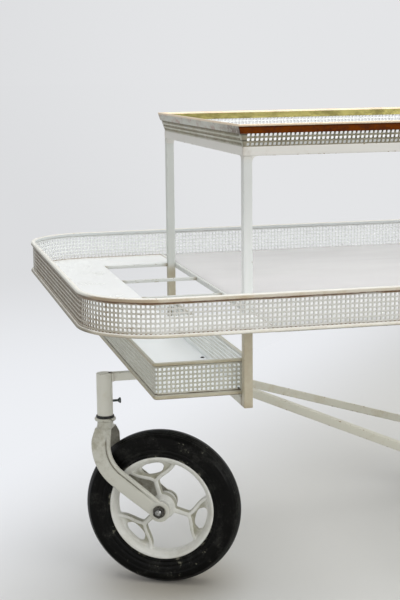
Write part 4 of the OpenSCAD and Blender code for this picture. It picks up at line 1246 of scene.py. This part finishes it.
# %% Head tube, set screw and thrust washer
tube_low, tube_high = node_box("head_tube")
cap_low = node_box("head_tube_cap")[0][2]
TUBE_WALL = 2.0
TUBE_SOFT = 0.9
COLLAR_INSIDE, COLLAR_OUTSIDE = 2.4, 1.6
tube_radius = (tube_high[1] - tube_low[1]) / 2
bore_radius = tube_radius - TUBE_WALL
tube_foot, tube_top = tube_low[2], tube_high[2]
swivel_xy = (swivel[0], swivel[1], 0)
tube_profile = [(0, tube_top), (tube_radius - 2 * TUBE_SOFT, tube_top),
                (tube_radius - 0.3 * TUBE_SOFT, tube_top - 0.3), (tube_radius, tube_top - TUBE_SOFT),
                (tube_radius, tube_top - 4 * TUBE_SOFT), (tube_radius, tube_foot + 4 * TUBE_SOFT),
                (tube_radius, tube_foot + TUBE_SOFT), (tube_radius - 0.3, tube_foot),
                (bore_radius + 0.2, tube_foot), (bore_radius, tube_foot + 0.4), (bore_radius, cap_low),
                (0, cap_low)]
tube_edge = [0, 0, 1, 1, 0, 0, 1, 1, 0, 0, 0, 0]
tube_shape = lathe(tube_profile, swivel_xy, steps=96, edge=tube_edge)
tube_side = swivel[0] + tube_radius
collar = bar((tube_side - COLLAR_INSIDE, 0, arm_middle), (tube_side + COLLAR_OUTSIDE, 0, arm_middle),
             BAR + 2.4, BAR + 1.2)
collar.points[:, 2] = np.minimum(collar.points[:, 2], tube_top - 0.2)
add_piece("head_tube_shell", joined([tube_shape, collar]), lightened_head_paint, "cart",
          ["head_tube", "head_tube_cap"])

screw_low, screw_high = node_box("set_screw")
screw_z = (screw_low[2] + screw_high[2]) / 2
screw_head = (screw_high[1] - screw_low[1]) / 2
reach = screw_high[0] - swivel[0]
screw_profile = [(0, reach - 1.2), (1.4, reach - 1.1), (1.7, reach - 0.2), (screw_head - 1.2, reach),
                 (screw_head - 0.2, reach - 0.7), (screw_head - 0.1, reach - 1.4), (2.6, reach - 4.2),
                 (1.95, reach - 5.0), (1.95, tube_radius - 1), (0, tube_radius - 1)]
screw_paint = plain_rough("set_screw_steel", srgb(112, 118, 118), srgb(62, 66, 64), 3, 0.35, 0.8)
add_piece("set_screw_turned", lathe(screw_profile, (swivel[0], 0, screw_z), (1, 0, 0), 32), screw_paint,
          "cart", ["set_screw"])
WASHER_BORE = 6.6
washer_low, washer_high = node_box("thrust_washer_ring")
washer_radius = (washer_high[1] - washer_low[1]) / 2
washer_profile = [(WASHER_BORE, washer_low[2]), (washer_radius - 0.6, washer_low[2]),
                  (washer_radius, washer_low[2] + 0.8), (washer_radius, washer_high[2] - 0.8),
                  (washer_radius - 0.6, washer_high[2]), (WASHER_BORE, washer_high[2])]
black_ring = plain_rough("washer_rubber", srgb(26, 26, 25), srgb(14, 14, 13), 4, 0.55)
washer = lathe(washer_profile, swivel_xy, steps=64)
add_piece("thrust_washer_turned", washer, black_ring, "castor_fork", ["thrust_washer_ring"])

# %% [markdown]
# ## Castor fork
# The fork is pressed steel. Under a turned ring its neck is round, then it opens into two blades that bend
# back to the axle, and the inner edge of each blade is rolled to a lip. A box cut to shape can't show that,
# so half of the fork is lofted: a section's width, bulge and lip change along the blade's middle line, and
# its outer side goes from a half circle at the neck to a crowned strip. The other half is its mirror image.


# %% Castor fork
def turned_level(angle):
    """Matrix of a turn about the upright axis."""
    c, s = math.cos(angle), math.sin(angle)
    return np.array([[c, -s, 0], [s, c, 0], [0, 0, 1]])


castor_wheel_axle, castor_axis = joint("castor_wheel_spin")
castor_turn = turned_level(math.atan2(-castor_axis[0], castor_axis[1]))
AXLE_Z = castor_wheel_axle[2]
TRAIL = math.hypot(*(castor_wheel_axle - swivel)[:2])
axle_centre = (TRAIL, 0, AXLE_Z)
BLADE_HALF = 15.5
BLADE_BEND = 65.0
BLADE_SLOPE = math.radians(37)
FORK_INNER = 28.0
FORK_FACE = 31.0
NECK = 12.5
NECK_TOP = 262.0
ARCH_TOP = 251.0
BLADES_FROM = 231.0
NECK_HEIGHTS = np.array([NECK_TOP, 259, 257, 255, 253, ARCH_TOP, ARCH_TOP - 0.01, 249, 247, 244, 241, 238,
                         235, BLADES_FROM])
NARROWER = 1.2
NARROWS_OVER = 60.0
CROWN_OUT = 1.0
THINNEST = 3.6
FLATTER = 0.55
LIP_STARTS, LIP_WHOLE = 247.0, 234.0
LIP_AT, LIP_HIGH = 3.0, 3.0
GROOVE_AT, GROOVE_DEEP = 7.6, 1.8
INSIDE_SHADE = 0.75


def rise(value, low, high):
    """Smooth step from 0 at low to 1 at high: 3t^2 - 2t^3."""
    t = np.clip((value - low) / (high - low), 0, 1)
    return t * t * (3 - 2 * t)


def hump(value, middle, width):
    """Smooth hump that is 1 in the middle: exp(-((value - middle) / width)^2)."""
    return np.exp(-((value - middle) / width) ** 2)


def blade_line():
    """Stations along the blade: place in the castor's side view (back, up), and the direction across the
    blade towards the inside of the bend."""
    turn = QUARTER - BLADE_SLOPE
    slope = (TRAIL - BLADE_BEND * (1 - math.cos(turn))) / math.cos(BLADE_SLOPE)
    bend_top = AXLE_Z + slope * math.sin(BLADE_SLOPE) + BLADE_BEND * math.sin(turn)
    upright = np.column_stack([0 * NECK_HEIGHTS, NECK_HEIGHTS])
    angle = np.linspace(0, turn, 15)
    arc = np.column_stack([np.cos(angle), np.sin(angle)])
    bend = [BLADE_BEND, bend_top] - BLADE_BEND * arc
    down = bend[-1] + np.linspace(0, 1, 9)[1:, None] * (np.array([TRAIL, AXLE_Z]) - bend[-1])
    across = np.concatenate([np.repeat(arc[:1], len(upright), 0), arc, np.repeat(arc[-1:], len(down), 0)])
    return np.concatenate([upright, bend, down]), across


def fork_half():
    """Outer side at width w = a sin t: q = edge + (face - edge) cos(t)^p + lip(w), for t over half a turn.

    p goes from 1 (a half circle) to 0.45 (a crowned strip). The lip is a hump near the inner edge of the
    blade with a groove beside it. The inner side is flat.
    """
    points, across = blade_line()
    neck_height = np.where(np.arange(len(points)) < len(NECK_HEIGHTS), points[:, 1], BLADES_FROM)
    opened = 1 - rise(neck_height, BLADES_FROM, NECK_TOP - 1)
    travelled = np.concatenate([[0], np.cumsum(np.linalg.norm(np.diff(points, axis=0), axis=1))])
    near_axle = rise(travelled, travelled[-1] - NARROWS_OVER, travelled[-1])
    half = NECK + (BLADE_HALF - NECK) * opened - NARROWER * near_axle
    face = NECK + (FORK_FACE + CROWN_OUT - NECK) * opened
    inner = np.where(points[:, 1] < ARCH_TOP - 0.001, np.minimum(FORK_INNER, face - THINNEST), 0.0)
    edge = np.maximum(inner + 0.8 * opened, 0) * np.where(inner > 0, 1, opened)
    power = 1 - FLATTER * opened
    angle = np.linspace(-QUARTER, QUARTER, 33)
    width = half[:, None] * np.sin(angle)
    bulge = np.clip(np.cos(angle), 0, 1)[None] ** power[:, None]
    lip = rise(-neck_height, -LIP_STARTS, -LIP_WHOLE)[:, None] * (1 - 0.7 * near_axle[:, None])
    from_edge = half[:, None] - width
    roll = LIP_HIGH * hump(from_edge, LIP_AT, 2.2) - GROOVE_DEEP * hump(from_edge, GROOVE_AT, 1.5)
    outer = edge[:, None] + (face - edge)[:, None] * bulge + lip * roll * rise(bulge, 0.0, 0.5)
    back = np.linspace(1, -1, 7)[None] * half[:, None] * 0.98
    flat = np.broadcast_to(inner[:, None], back.shape)
    w = np.concatenate([width, back], 1)
    q = np.concatenate([outer, flat], 1)
    side = points[:, None] + w[..., None] * across[:, None]
    grid = np.stack([side[..., 0], -q, side[..., 1]], -1)
    # The grime mark: dirt and painted shade in the groove by the lip, and painted shade over each blade's
    # inner face.
    groove = np.concatenate([hump(from_edge, GROOVE_AT - 0.4, 1.7) * lip, INSIDE_SHADE + 0 * back], 1)
    ridge = np.concatenate([hump(from_edge, LIP_AT - 0.5, 2.0) * lip, 0 * back], 1)
    return skin(grid, edge=ridge * 0.8, grime=groove * 1.1)


half = fork_half()
mirror = np.diag([1.0, -1.0, 1.0])
RING_RADIUS = 17.0
RING_BORE = 6.8
RING_THICK = 5.5
ring_top = node_box("fork_crown")[1][2]
ring_foot = ring_top - RING_THICK
ring_profile = [(RING_BORE, ring_foot), (NECK + 0.5, ring_foot - 0.6), (NECK + 1.6, ring_foot + 0.2),
                (RING_RADIUS - 0.9, ring_foot + 0.9), (RING_RADIUS, ring_foot + 2.2),
                (RING_RADIUS, ring_top - 1.4), (RING_RADIUS - 0.5, ring_top - 0.4),
                (RING_RADIUS - 1.4, ring_top), (RING_BORE, ring_top)]
fork_ring = lathe(ring_profile, steps=72, edge=[0, 0, 0, 0.4, 1, 1, 1, 0.6, 0])
BOSS_BORE = 5.3
BOSS_RADIUS = 16.8
NUT_FACE = FORK_FACE + 1.1
boss_profile = np.array([(BOSS_BORE, FORK_INNER - 0.2), (BOSS_RADIUS - 0.8, FORK_INNER - 0.2),
                         (BOSS_RADIUS, FORK_INNER + 0.6), (BOSS_RADIUS, FORK_FACE + 0.6),
                         (BOSS_RADIUS - 0.8, FORK_FACE + 1.2), (10.5, FORK_FACE + 1.4),
                         (9.8, NUT_FACE), (BOSS_BORE, NUT_FACE)])
boss_edge = [0, 0, 0.3, 0.8, 0.8, 0.2, 0, 0]
boss_dirt = [1, 0, 0, 0, 0, 0.3, 0.9, 1]
bosses = [lathe(boss_profile * [1, side], axle_centre, (0, 1, 0), 64, edge=boss_edge, grime=boss_dirt)
          for side in (-1, 1)]
fork = joined([half, half.moved(mirror), fork_ring] + bosses).moved(castor_turn, swivel_xy)
add_piece("fork_pressing", fork, fork_paint, "castor_fork",
          ["fork_crown", "fork_blade_near", "fork_blade_far"])

# %% Castor axle and nut
nut_steel = plain_rough("nut_steel", srgb(96, 94, 88), srgb(52, 50, 46), 3, 0.38, 0.85)
bolt_steel = plain_rough("bolt_steel", srgb(176, 176, 174), srgb(128, 128, 124), 3, 0.28, 0.95)
NUT_FLATS = 17.0
NUT_STEPS = 48
NUT_CHAMFER = (1.04, 0.94)
NEAR_NUT_THICK, FAR_NUT_THICK = 6.4, 5.0
BOLT_RADIUS = 5.0


def hex_nut(thick, side):
    """Six-sided prism whose outer face draws in to a circle by its chamfer, open round the bolt. Its flats
    stand at r = half width across flats / cos(angle from the flat's middle)."""
    angle = np.arange(NUT_STEPS) * TURN / NUT_STEPS
    half = NUT_FLATS / 2
    flat = half / np.cos(np.mod(angle + TURN / 12, TURN / 6) - TURN / 12)
    outer, inner = half * np.array(NUT_CHAMFER)
    circles = [np.full(NUT_STEPS, radius) for radius in (inner, BOLT_RADIUS + 0.5, BOLT_RADIUS + 0.1)]
    radii = np.array([flat, flat, np.minimum(flat, outer)] + circles)
    places = side * (NUT_FACE + np.array([0, thick - 1.5, thick - 0.5, thick, thick, 0]))
    across = np.broadcast_to(places[:, None], radii.shape)
    grid = np.stack([radii * np.cos(angle), across, radii * np.sin(angle)], -1)
    return skin(grid, ring=True).moved(shift=axle_centre)


nuts = joined([hex_nut(NEAR_NUT_THICK, -1), hex_nut(FAR_NUT_THICK, 1)]).moved(castor_turn, swivel_xy)
add_piece("castor_nuts", nuts, nut_steel, "castor_fork", ["castor_axle_nut"])
near_tip, far_tip = FORK_FACE + 9, FORK_FACE + 8
thread = BOLT_RADIUS - 0.2
bolt_profile = [(0, -near_tip), (thread - 1.2, -near_tip), (thread, 1 - near_tip), (thread, far_tip - 1),
                (thread - 1, far_tip), (0, far_tip)]
bolt = lathe(bolt_profile, axle_centre, (0, 1, 0), 40).moved(castor_turn, swivel_xy)
add_piece("castor_bolt", bolt, bolt_steel, "castor_fork", ["castor_axle"])

# %% [markdown]
# ## Wheel rims
# The rims are cast: three spokes that open like a Y, a thin web between the arms of each with an oval eye in
# it, and a heavy ring. Castings have no sharp inner angles, and a soft joint between many ribs is hard to
# model face by face. So each rib, web and ring is made as a simple closed shape, all of them are merged into
# one skin by a voxel remesh, and a smoothing pass draws the small hollow radii between them.


# %% Wheel rims
RIM_LOW, RIM_HIGH = node_box("rear_rim_near")
HUB_HALF = (RIM_HIGH[1] - RIM_LOW[1]) / 2
RIM_RADIUS = (RIM_HIGH[0] - RIM_LOW[0]) / 2
RING_INNER = 74.0
RING_HALF = 16.0
HUB_RADIUS = 18.0
BUSH_RADIUS = 10.2
SPOKE_HALF = 7.0
EYE_LENGTH = 38.0
EYE_HEIGHT = 18.0
EYE_AT = RING_INNER - EYE_HEIGHT / 2 - 2.0
EYE_POWER = 2.6
EYE_LIP = 4.6
WEB_HALF = 2.6
WEB_ACROSS = 33.0
INTO_RING = 3.0
STEM_FROM = 12.0
STEM_WIDE = (9.5, 8.0)
STEM_STEPS = 14
FORK_AT = 45.0
ARM_PATH = np.array([(FORK_AT - 3, 0), (FORK_AT + 7, 7), (FORK_AT + 6, 24), (RING_INNER - 9, 37)])
ARM_WIDE = (6.5, 6.0)
ARM_STEPS = 24
VOXEL_MM = 1.15
SOFTEN_SHARE = 0.5
SOFTEN_PASSES = 5


def rib(path, wide, deep):
    """A rounded section carried along a smooth curve in the wheel's plane."""
    path = np.asarray(path, float)
    ahead = np.gradient(path, axis=0)
    ahead /= np.linalg.norm(ahead, axis=1)[:, None]
    across = np.column_stack([-ahead[:, 1], ahead[:, 0]])
    section, _ = rounded_section(1, 1, 0.3, 0.05, 4)
    wide, deep = np.broadcast_to(wide, len(path)), np.broadcast_to(deep, len(path))
    level = path[:, None] + (section[None, :, 0] * wide[:, None])[..., None] * across[:, None]
    height = (section[None, :, 1] * deep[:, None])[..., None]
    return skin(np.concatenate([level, height], -1))


def curve(corners):
    """Bezier curve from the first corner to the last, drawn by the two between: the weights of the four are
    (1 - t)^3, 3t(1 - t)^2, 3t^2(1 - t) and t^3."""
    t = np.linspace(0, 1, ARM_STEPS)[:, None]
    a, b, c, d = (np.array(corner, float) for corner in corners)
    return a * (1 - t) ** 3 + b * 3 * t * (1 - t) ** 2 + c * 3 * t * t * (1 - t) + d * t ** 3


def eye_loop(angle, grow=0.0):
    """Superellipse |x/a|^n + |y/b|^n = 1 across the spoke, a tenth narrower on its hub side."""
    a, b = EYE_LENGTH / 2 + grow, EYE_HEIGHT / 2 + grow
    c, s = np.cos(angle), np.sin(angle)
    radius = (np.abs(c / a) ** EYE_POWER + np.abs(s / b) ** EYE_POWER) ** (-1 / EYE_POWER)
    across, out = radius * c, radius * s
    return np.column_stack([EYE_AT + out, across * (1 - 0.10 * (out < 0))])


def spoke():
    """Stem, two arms, and the web between them: a ring-shaped plate from the eye's edge to the arms."""
    stem = np.column_stack([np.linspace(STEM_FROM, FORK_AT + 1, STEM_STEPS), np.zeros(STEM_STEPS)])
    parts = [rib(stem, np.linspace(*STEM_WIDE, STEM_STEPS), 2 * SPOKE_HALF)]
    for side in (-1, 1):
        arm = curve(ARM_PATH * [1, side])
        parts.append(rib(arm, np.linspace(*ARM_WIDE, ARM_STEPS), 2 * SPOKE_HALF))
    angle = np.arange(72) * TURN / 72
    lipped = eye_loop(angle, 2.4)
    across, out = np.cos(angle), np.sin(angle)
    reach = RING_INNER + INTO_RING
    away = np.where(out > 0, reach - EYE_AT, EYE_AT - FORK_AT - 3)
    outer = np.column_stack([EYE_AT + out * away, across * WEB_ACROSS])
    outer[:, 0] = np.minimum(outer[:, 0], np.sqrt(np.maximum(reach ** 2 - outer[:, 1] ** 2, 0)))
    loops = [(eye_loop(angle), EYE_LIP - 0.8), (eye_loop(angle, 0.8), EYE_LIP), (lipped, EYE_LIP),
             (lipped * 0.5 + outer * 0.5, WEB_HALF), (outer, WEB_HALF)]
    loops += [(loop, -height) for loop, height in loops[::-1]]
    grid = np.stack([np.column_stack([loop, np.full(len(loop), height)]) for loop, height in loops], 1)
    parts.append(skin(grid, ring=True))
    return joined(parts)


def rim_casting():
    """Ring and hub by lathe, three spokes, remeshed into one skin and smoothed."""
    ring = [(RING_INNER, -6), (RING_INNER + 1.0, -9.5), (RING_INNER + 5.5, 1.2 - RING_HALF),
            (RING_INNER + 7.5, -RING_HALF), (RIM_RADIUS - 1.4, -RING_HALF), (RIM_RADIUS - 0.4, 1 - RING_HALF)]
    ring = np.array(ring + [(r, -h) for r, h in ring[::-1]])
    hub = [(BUSH_RADIUS, 0.8 - HUB_HALF), (BUSH_RADIUS + 0.8, -HUB_HALF), (HUB_RADIUS - 2, -HUB_HALF),
           (HUB_RADIUS - 0.4, 1.4 - HUB_HALF), (HUB_RADIUS, -SPOKE_HALF - 4), (HUB_RADIUS + 2.5, -SPOKE_HALF)]
    hub = np.array(hub + [(r, -h) for r, h in hub[::-1]])
    one = spoke()
    spokes = [one.moved(turned_level(turn)) for turn in np.arange(3) * TURN / 3]
    raw = joined([lathe(ring, steps=160), lathe(hub, steps=72)] + spokes)
    blank = bpy.data.objects.new("rim_blank", new_mesh("rim_blank", raw))
    bpy.context.scene.collection.objects.link(blank)
    merge = blank.modifiers.new("merge", "REMESH")
    merge.mode = "VOXEL"
    merge.voxel_size = VOXEL_MM * MM
    soften = blank.modifiers.new("soften", "SMOOTH")
    soften.factor = SOFTEN_SHARE
    soften.iterations = SOFTEN_PASSES
    mesh = bpy.data.meshes.new_from_object(blank.evaluated_get(bpy.context.evaluated_depsgraph_get()))
    points = np.zeros(len(mesh.vertices) * 3, np.float32)
    mesh.vertices.foreach_get("co", points)
    faces = np.zeros(len(mesh.polygons) * 4, np.int32)
    mesh.polygons.foreach_get("vertices", faces)
    bpy.data.objects.remove(blank)
    bpy.data.meshes.remove(mesh)
    points = points.reshape(-1, 3) / MM
    radius = np.hypot(points[:, 0], points[:, 1])
    plane = np.abs(points[:, 2])
    hollow = (plane < SPOKE_HALF - 1.5) * (radius > HUB_RADIUS + 1)
    # The hollows get the grime mark, for the shade painted there.
    dirt_and_shade = np.clip((RING_INNER + 3 - radius) / 20, 0, 1) * hollow
    edge = (plane > SPOKE_HALF - 0.6) * (radius < RING_INNER - 2)
    return Shape(points, [faces.reshape(-1, 4)], {"grime": dirt_and_shade, "edge": edge})


def wheel_matrix(axle, first_spoke):
    """Columns: the first spoke, the direction a quarter turn on, and the axle towards the near side."""
    level = np.array([axle[1], -axle[0], 0])
    up = np.array([0, 0, 1.0])
    c, s = math.cos(first_spoke), math.sin(first_spoke)
    return np.column_stack([level * c + up * s, up * c - level * s, -np.array(axle)])


def cast_enamel():
    """Grey-white paint on the casting, painted darker and browner in the hollows as painted shade, with fine
    grain and a few chips.
    """
    paint = Paint("cast_rim_enamel")
    clouds = paint.noise(26, 5, 0.62)
    specks = paint.noise(3.2, 6, 0.7)
    # Painted shade: the hollows between spokes and ring are darker and browner.
    hollow = paint.step(paint.mark("grime") * 0.7 + clouds * 0.6 + specks * 0.2, 0.44, 1.0)
    chips = paint.step(specks + paint.mark("edge") * 0.05, 0.69, 0.75)
    colour = paint.blend(paint.step(clouds, 0.4, 0.68) * 0.7, srgb(228, 228, 222), srgb(208, 207, 196))
    colour = paint.blend(hollow * 0.8, colour, srgb(148, 145, 122))
    colour = paint.blend(chips * 0.8, colour, srgb(128, 116, 92))
    return paint.surface(Base_Color=colour, Roughness=specks * 0.2 + 0.32,
                         Normal=paint.bump(paint.noise(1.6, 4, 0.6) * 0.6 - chips, 0.3, 0.12))


# Each wheel's body, its rim and tyre in the CAD model, and its first spoke's angle in degrees.
WHEELS = (("castor_wheel", "castor_rim", "castor_tyre", 104.7),
          ("rear_wheel_near", "rear_rim_near", "rear_tyre_near", 90.0),
          ("rear_wheel_far", "rear_rim_far", "rear_tyre_far", 90.0))
casting = rim_casting()
cast_paint = cast_enamel()
wheel_places = {}
for body, rim_node, _, first_spoke in WHEELS:
    hub_place, axle = joint(body + "_spin")
    wheel_places[body] = (wheel_matrix(axle, math.radians(first_spoke)), hub_place)
    add_piece(body + "_casting", casting.moved(*wheel_places[body]), cast_paint, body, [rim_node])

# %% [markdown]
# ## Tyres
# Solid rubber tyres: a crowned tread with fine grooves, shoulders, and a step and two narrow grooves in each
# side. The profile is one closed line turned about the axle. Dust sits in the tread's grooves.


# %% Tyres
TYRE_HALF = 20.0
TYRE_RADIUS = 125.0
CROWN = 28.0
SHOULDER = 0.9
GROOVES = (4.6, 9.2, 13.4)
GROOVE_DEPTH = 0.8
SEAT_RADIUS = RIM_RADIUS - 1.0
SEAT_HALF = 15.2


def tyre_profile():
    """Tread: r = R - crown + sqrt(crown^2 - h^2), less narrow grooves. Sides: a smooth bulge, a step below
    the shoulder and two narrow grooves, placed by their share of the way from the rim to the tread.

    The closed profile comes first, then how dusty and how near the rim each of its points is.
    """
    h = np.linspace(0, TYRE_HALF - SHOULDER, 46)
    tread = TYRE_RADIUS - CROWN + np.sqrt(CROWN ** 2 - h ** 2)
    groove = sum(np.exp(-((h - place) / 0.55) ** 4) for place in GROOVES)
    tread = tread - GROOVE_DEPTH * groove
    r = np.linspace(tread[-1] - 1.1, SEAT_RADIUS, 30)
    share = (r - RIM_RADIUS) / (tread[-1] - RIM_RADIUS)
    side = TYRE_HALF - 3.6 * np.clip(1 - share / 0.62, 0, 1) ** 1.6 - 0.8 * rise(-share, -0.70, -0.62)
    side = side - 1.1 * hump(share, 0.36, 0.045) - 1.0 * hump(share, 0.14, 0.04)
    half = np.concatenate([np.column_stack([tread, h]), np.column_stack([r, side])])
    mirrored = half[:0:-1] * [1, -1]
    loop = np.concatenate([mirrored, half, [[SEAT_RADIUS, SEAT_HALF], [SEAT_RADIUS, -SEAT_HALF]]])
    dust = np.concatenate([groove > 0.3, 0 * r])
    bead = np.concatenate([0 * h, hump(share, 0, 0.06)])
    return loop, *(np.concatenate([mark[:0:-1], mark, [0, 0]]) for mark in (dust, bead))


def old_rubber():
    """Black rubber greyed by dust, most in the grooves, with pale scuffs, most by the rim."""
    paint = Paint("old_rubber")
    clouds = paint.noise(22, 5, 0.6)
    specks = paint.noise(3, 6, 0.72)
    dust = paint.step(clouds * 0.6 + specks * 0.4 + paint.mark("grime") * 0.12, 0.48, 0.68)
    rubs = paint.noise(11, 6, 0.72)
    scuff = paint.step(rubs * 0.8 + paint.noise(70, 3, 0.6) * 0.2 + paint.mark("edge") * 0.07, 0.615, 0.68)
    colour = paint.blend(dust * 0.8, srgb(4, 4, 3), srgb(48, 48, 45))
    colour = paint.blend(scuff * 0.6, colour, srgb(132, 130, 114))
    return paint.surface(Base_Color=colour, Roughness=dust * 0.28 + 0.34, Specular_IOR_Level=0.11,
                         Normal=paint.bump(specks * 0.7 + paint.noise(1.0, 3, 0.5) * 0.3, 0.3, 0.12))


profile, dusty, by_rim = tyre_profile()
tyre = lathe(profile, steps=160, grime=dusty, edge=by_rim)
rubber = old_rubber()
for body, _, tyre_node, _ in WHEELS:
    add_piece(body + "_rubber", tyre.moved(*wheel_places[body]), rubber, body, [tyre_node])

# %% [markdown]
# ## Small hidden pieces
# Bushes, spacers, washers and nuts keep their CAD shape and get plain metal finishes.


# %% Small hidden pieces
bronze = plain_rough("oiled_bronze", srgb(150, 112, 70), srgb(104, 76, 46), 6, 0.4, 0.85)
zinc = plain_rough("zinc_plate", srgb(172, 174, 172), srgb(128, 128, 122), 5, 0.4, 0.8)
for node in ("stem_bushes", "castor_wheel_bush", "rear_bush_near", "rear_bush_far"):
    dress(node, bronze)
for node in ("castor_stem", "castor_spacers", "rear_spacers", "rear_washers", "rear_axle_nuts"):
    dress(node, zinc)

# %% [markdown]
# ## Studio
# The cart stands on a pale floor in soft light from above and in front, and a small lamp lights the castor.
# The floor is a disc that fades into the background's colour, and the background is a colour for what the
# camera sees, what metal reflects and what glass lets through, so that it adds no light to the cart.

# %% Studio
PAPER = srgb(214, 214, 211)
WHEEL_SHADOW_PAPER = srgb(184, 179, 168)
NEAR_GLOW = srgb(238, 240, 244)
FAR_GLOW = srgb(228, 229, 231)
DIM_GLOW = srgb(220, 221, 223)
FLOOR_RADII_MM = np.array([1, 60, 300, 900, 3000, 12000, 60000])
FLOOR_STEPS = 96
AMBIENT = 0.44


def seen_by_lens(paint):
    """1 for rays that the lens, a mirror or a pane sends, and 0 for those that carry diffuse light."""
    rays = paint.outputs(paint.add("LightPath"))
    seen = rays["Is Camera Ray"] + rays["Is Glossy Ray"] + rays["Is Transmission Ray"]
    return paint.maths("MINIMUM", seen, 1.0)


def floor_material():
    """Paper near the cart, painted darker round the castor wheel as its shadow. It turns to glow behind the
    cart and to its left, and far away on every side.
    """
    paint = Paint("studio_floor")
    x, y, _ = paint.axes()
    distance = paint.maths("SQRT", x * x + y * y)
    lit = paint.maths("MAXIMUM", paint.step(y * 1.1 - x * 1.25, 0.30, 1.40), paint.step(distance, 1.6, 3.2))
    wheel_x, wheel_y = x - castor_wheel_axle[0] * MM, y - castor_wheel_axle[1] * MM
    from_wheel = paint.maths("SQRT", wheel_x * wheel_x + wheel_y * wheel_y)
    # Painted shadow: the paper darkens round the castor wheel's foot.
    shadowed_paper = paint.blend(paint.step(from_wheel, 0.03, 0.17), WHEEL_SHADOW_PAPER, PAPER)
    dull = {"Base Color": shadowed_paper, "Roughness": 0.8, "Specular IOR Level": 0.1}
    ground = paint.add("BsdfPrincipled", None, dull)
    backdrop = paint.blend(paint.step(x / distance, 0.0, 0.26), DIM_GLOW, FAR_GLOW)
    colour = paint.blend(paint.step(distance, 1.0, 3.4), NEAR_GLOW, backdrop)
    glow = paint.add("Emission", None, {"Color": colour, "Strength": 1.0})
    mixed = paint.add("MixShader", None, {0: lit * seen_by_lens(paint), 1: ground, 2: glow})
    paint.add("OutputMaterial", None, {"Surface": mixed})
    return paint.owner


def studio_world():
    """Even light for diffuse rays, and for all others a backdrop a little dimmer towards the left."""
    sky = Paint("studio", "worlds")
    across = sky.outputs(sky.add("SeparateXYZ", None, {0: sky.add("TexCoord")}))["X"]
    colour = sky.blend(sky.step(across, 0.0, 0.26), DIM_GLOW, FAR_GLOW)
    ambient = sky.add("Background", None, {"Color": (1, 1, 1, 1), "Strength": AMBIENT})
    backdrop = sky.add("Background", None, {"Color": colour, "Strength": 1.0})
    mixed = sky.add("MixShader", None, {0: seen_by_lens(sky), 1: ambient, 2: backdrop})
    sky.add("OutputWorld", None, {"Surface": mixed})
    return sky.owner


def area_light(name, place, aim, size, power):
    """A rectangle that faces its aim: its Z axis is the way back from the aim."""
    lamp = bpy.data.lights.new(name, "AREA")
    lamp.shape = "RECTANGLE"
    lamp.size, lamp.size_y = size
    lamp.energy = power
    light = bpy.data.objects.new(name, lamp)
    way = np.array(place, float) - aim
    way /= np.linalg.norm(way)
    side = np.cross([0, 1, 0] if abs(way[2]) > 0.95 else [0, 0, 1], way)
    side /= np.linalg.norm(side)
    matrix = np.eye(4)
    matrix[:3, 0], matrix[:3, 1], matrix[:3, 2], matrix[:3, 3] = side, np.cross(way, side), way, place
    light.matrix_world = Matrix(matrix.tolist())
    bpy.context.scene.collection.objects.link(light)
    print(name, power, "W at", place)


def floor_disc():
    """Rings of points round the origin, and a flat face inside the first."""
    angle = np.arange(FLOOR_STEPS) * TURN / FLOOR_STEPS
    points = FLOOR_RADII_MM[:, None, None] * np.column_stack([np.cos(angle), np.sin(angle), 0 * angle])
    number = np.arange(len(FLOOR_RADII_MM) * FLOOR_STEPS).reshape(-1, FLOOR_STEPS)
    here, ahead = number[:-1], number[1:]
    rings = np.stack([here, ahead, np.roll(ahead, -1, 1), np.roll(here, -1, 1)], -1).reshape(-1, 4)
    return Shape(points, [rings, number[:1]])


floor_mesh = new_mesh("studio_floor", floor_disc())
floor_mesh.materials.append(floor_material())
floor = bpy.data.objects.new("studio_floor", floor_mesh)
bpy.context.scene.collection.objects.link(floor)
floor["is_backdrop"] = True
area_light("overhead_softbox", (0.0, -0.25, 3.0), (0, 0, 0.4), (3.6, 3.2), 64)
area_light("front_right_fill", (1.8, -3.1, 2.0), (0, 0, 0.4), (2.6, 1.8), 43)
area_light("castor_fill", (-0.95, -0.95, 0.45), (-0.36, 0, 0.33), (0.6, 0.5), 0.9)
bpy.context.scene.world = studio_world()
bpy.context.scene.view_settings.view_transform = "Standard"

# %% [markdown]
# ## Size and finish
# The dressed cart must keep the CAD model's size. Both boxes are printed.

# %% Size and finish
dressed_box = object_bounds()
sizes = {"cad": [list(map(float, corner)) for corner in cad_box],
         "visual": [list(map(float, corner)) for corner in dressed_box]}
print("CAD box", sizes["cad"], "dressed box", sizes["visual"])
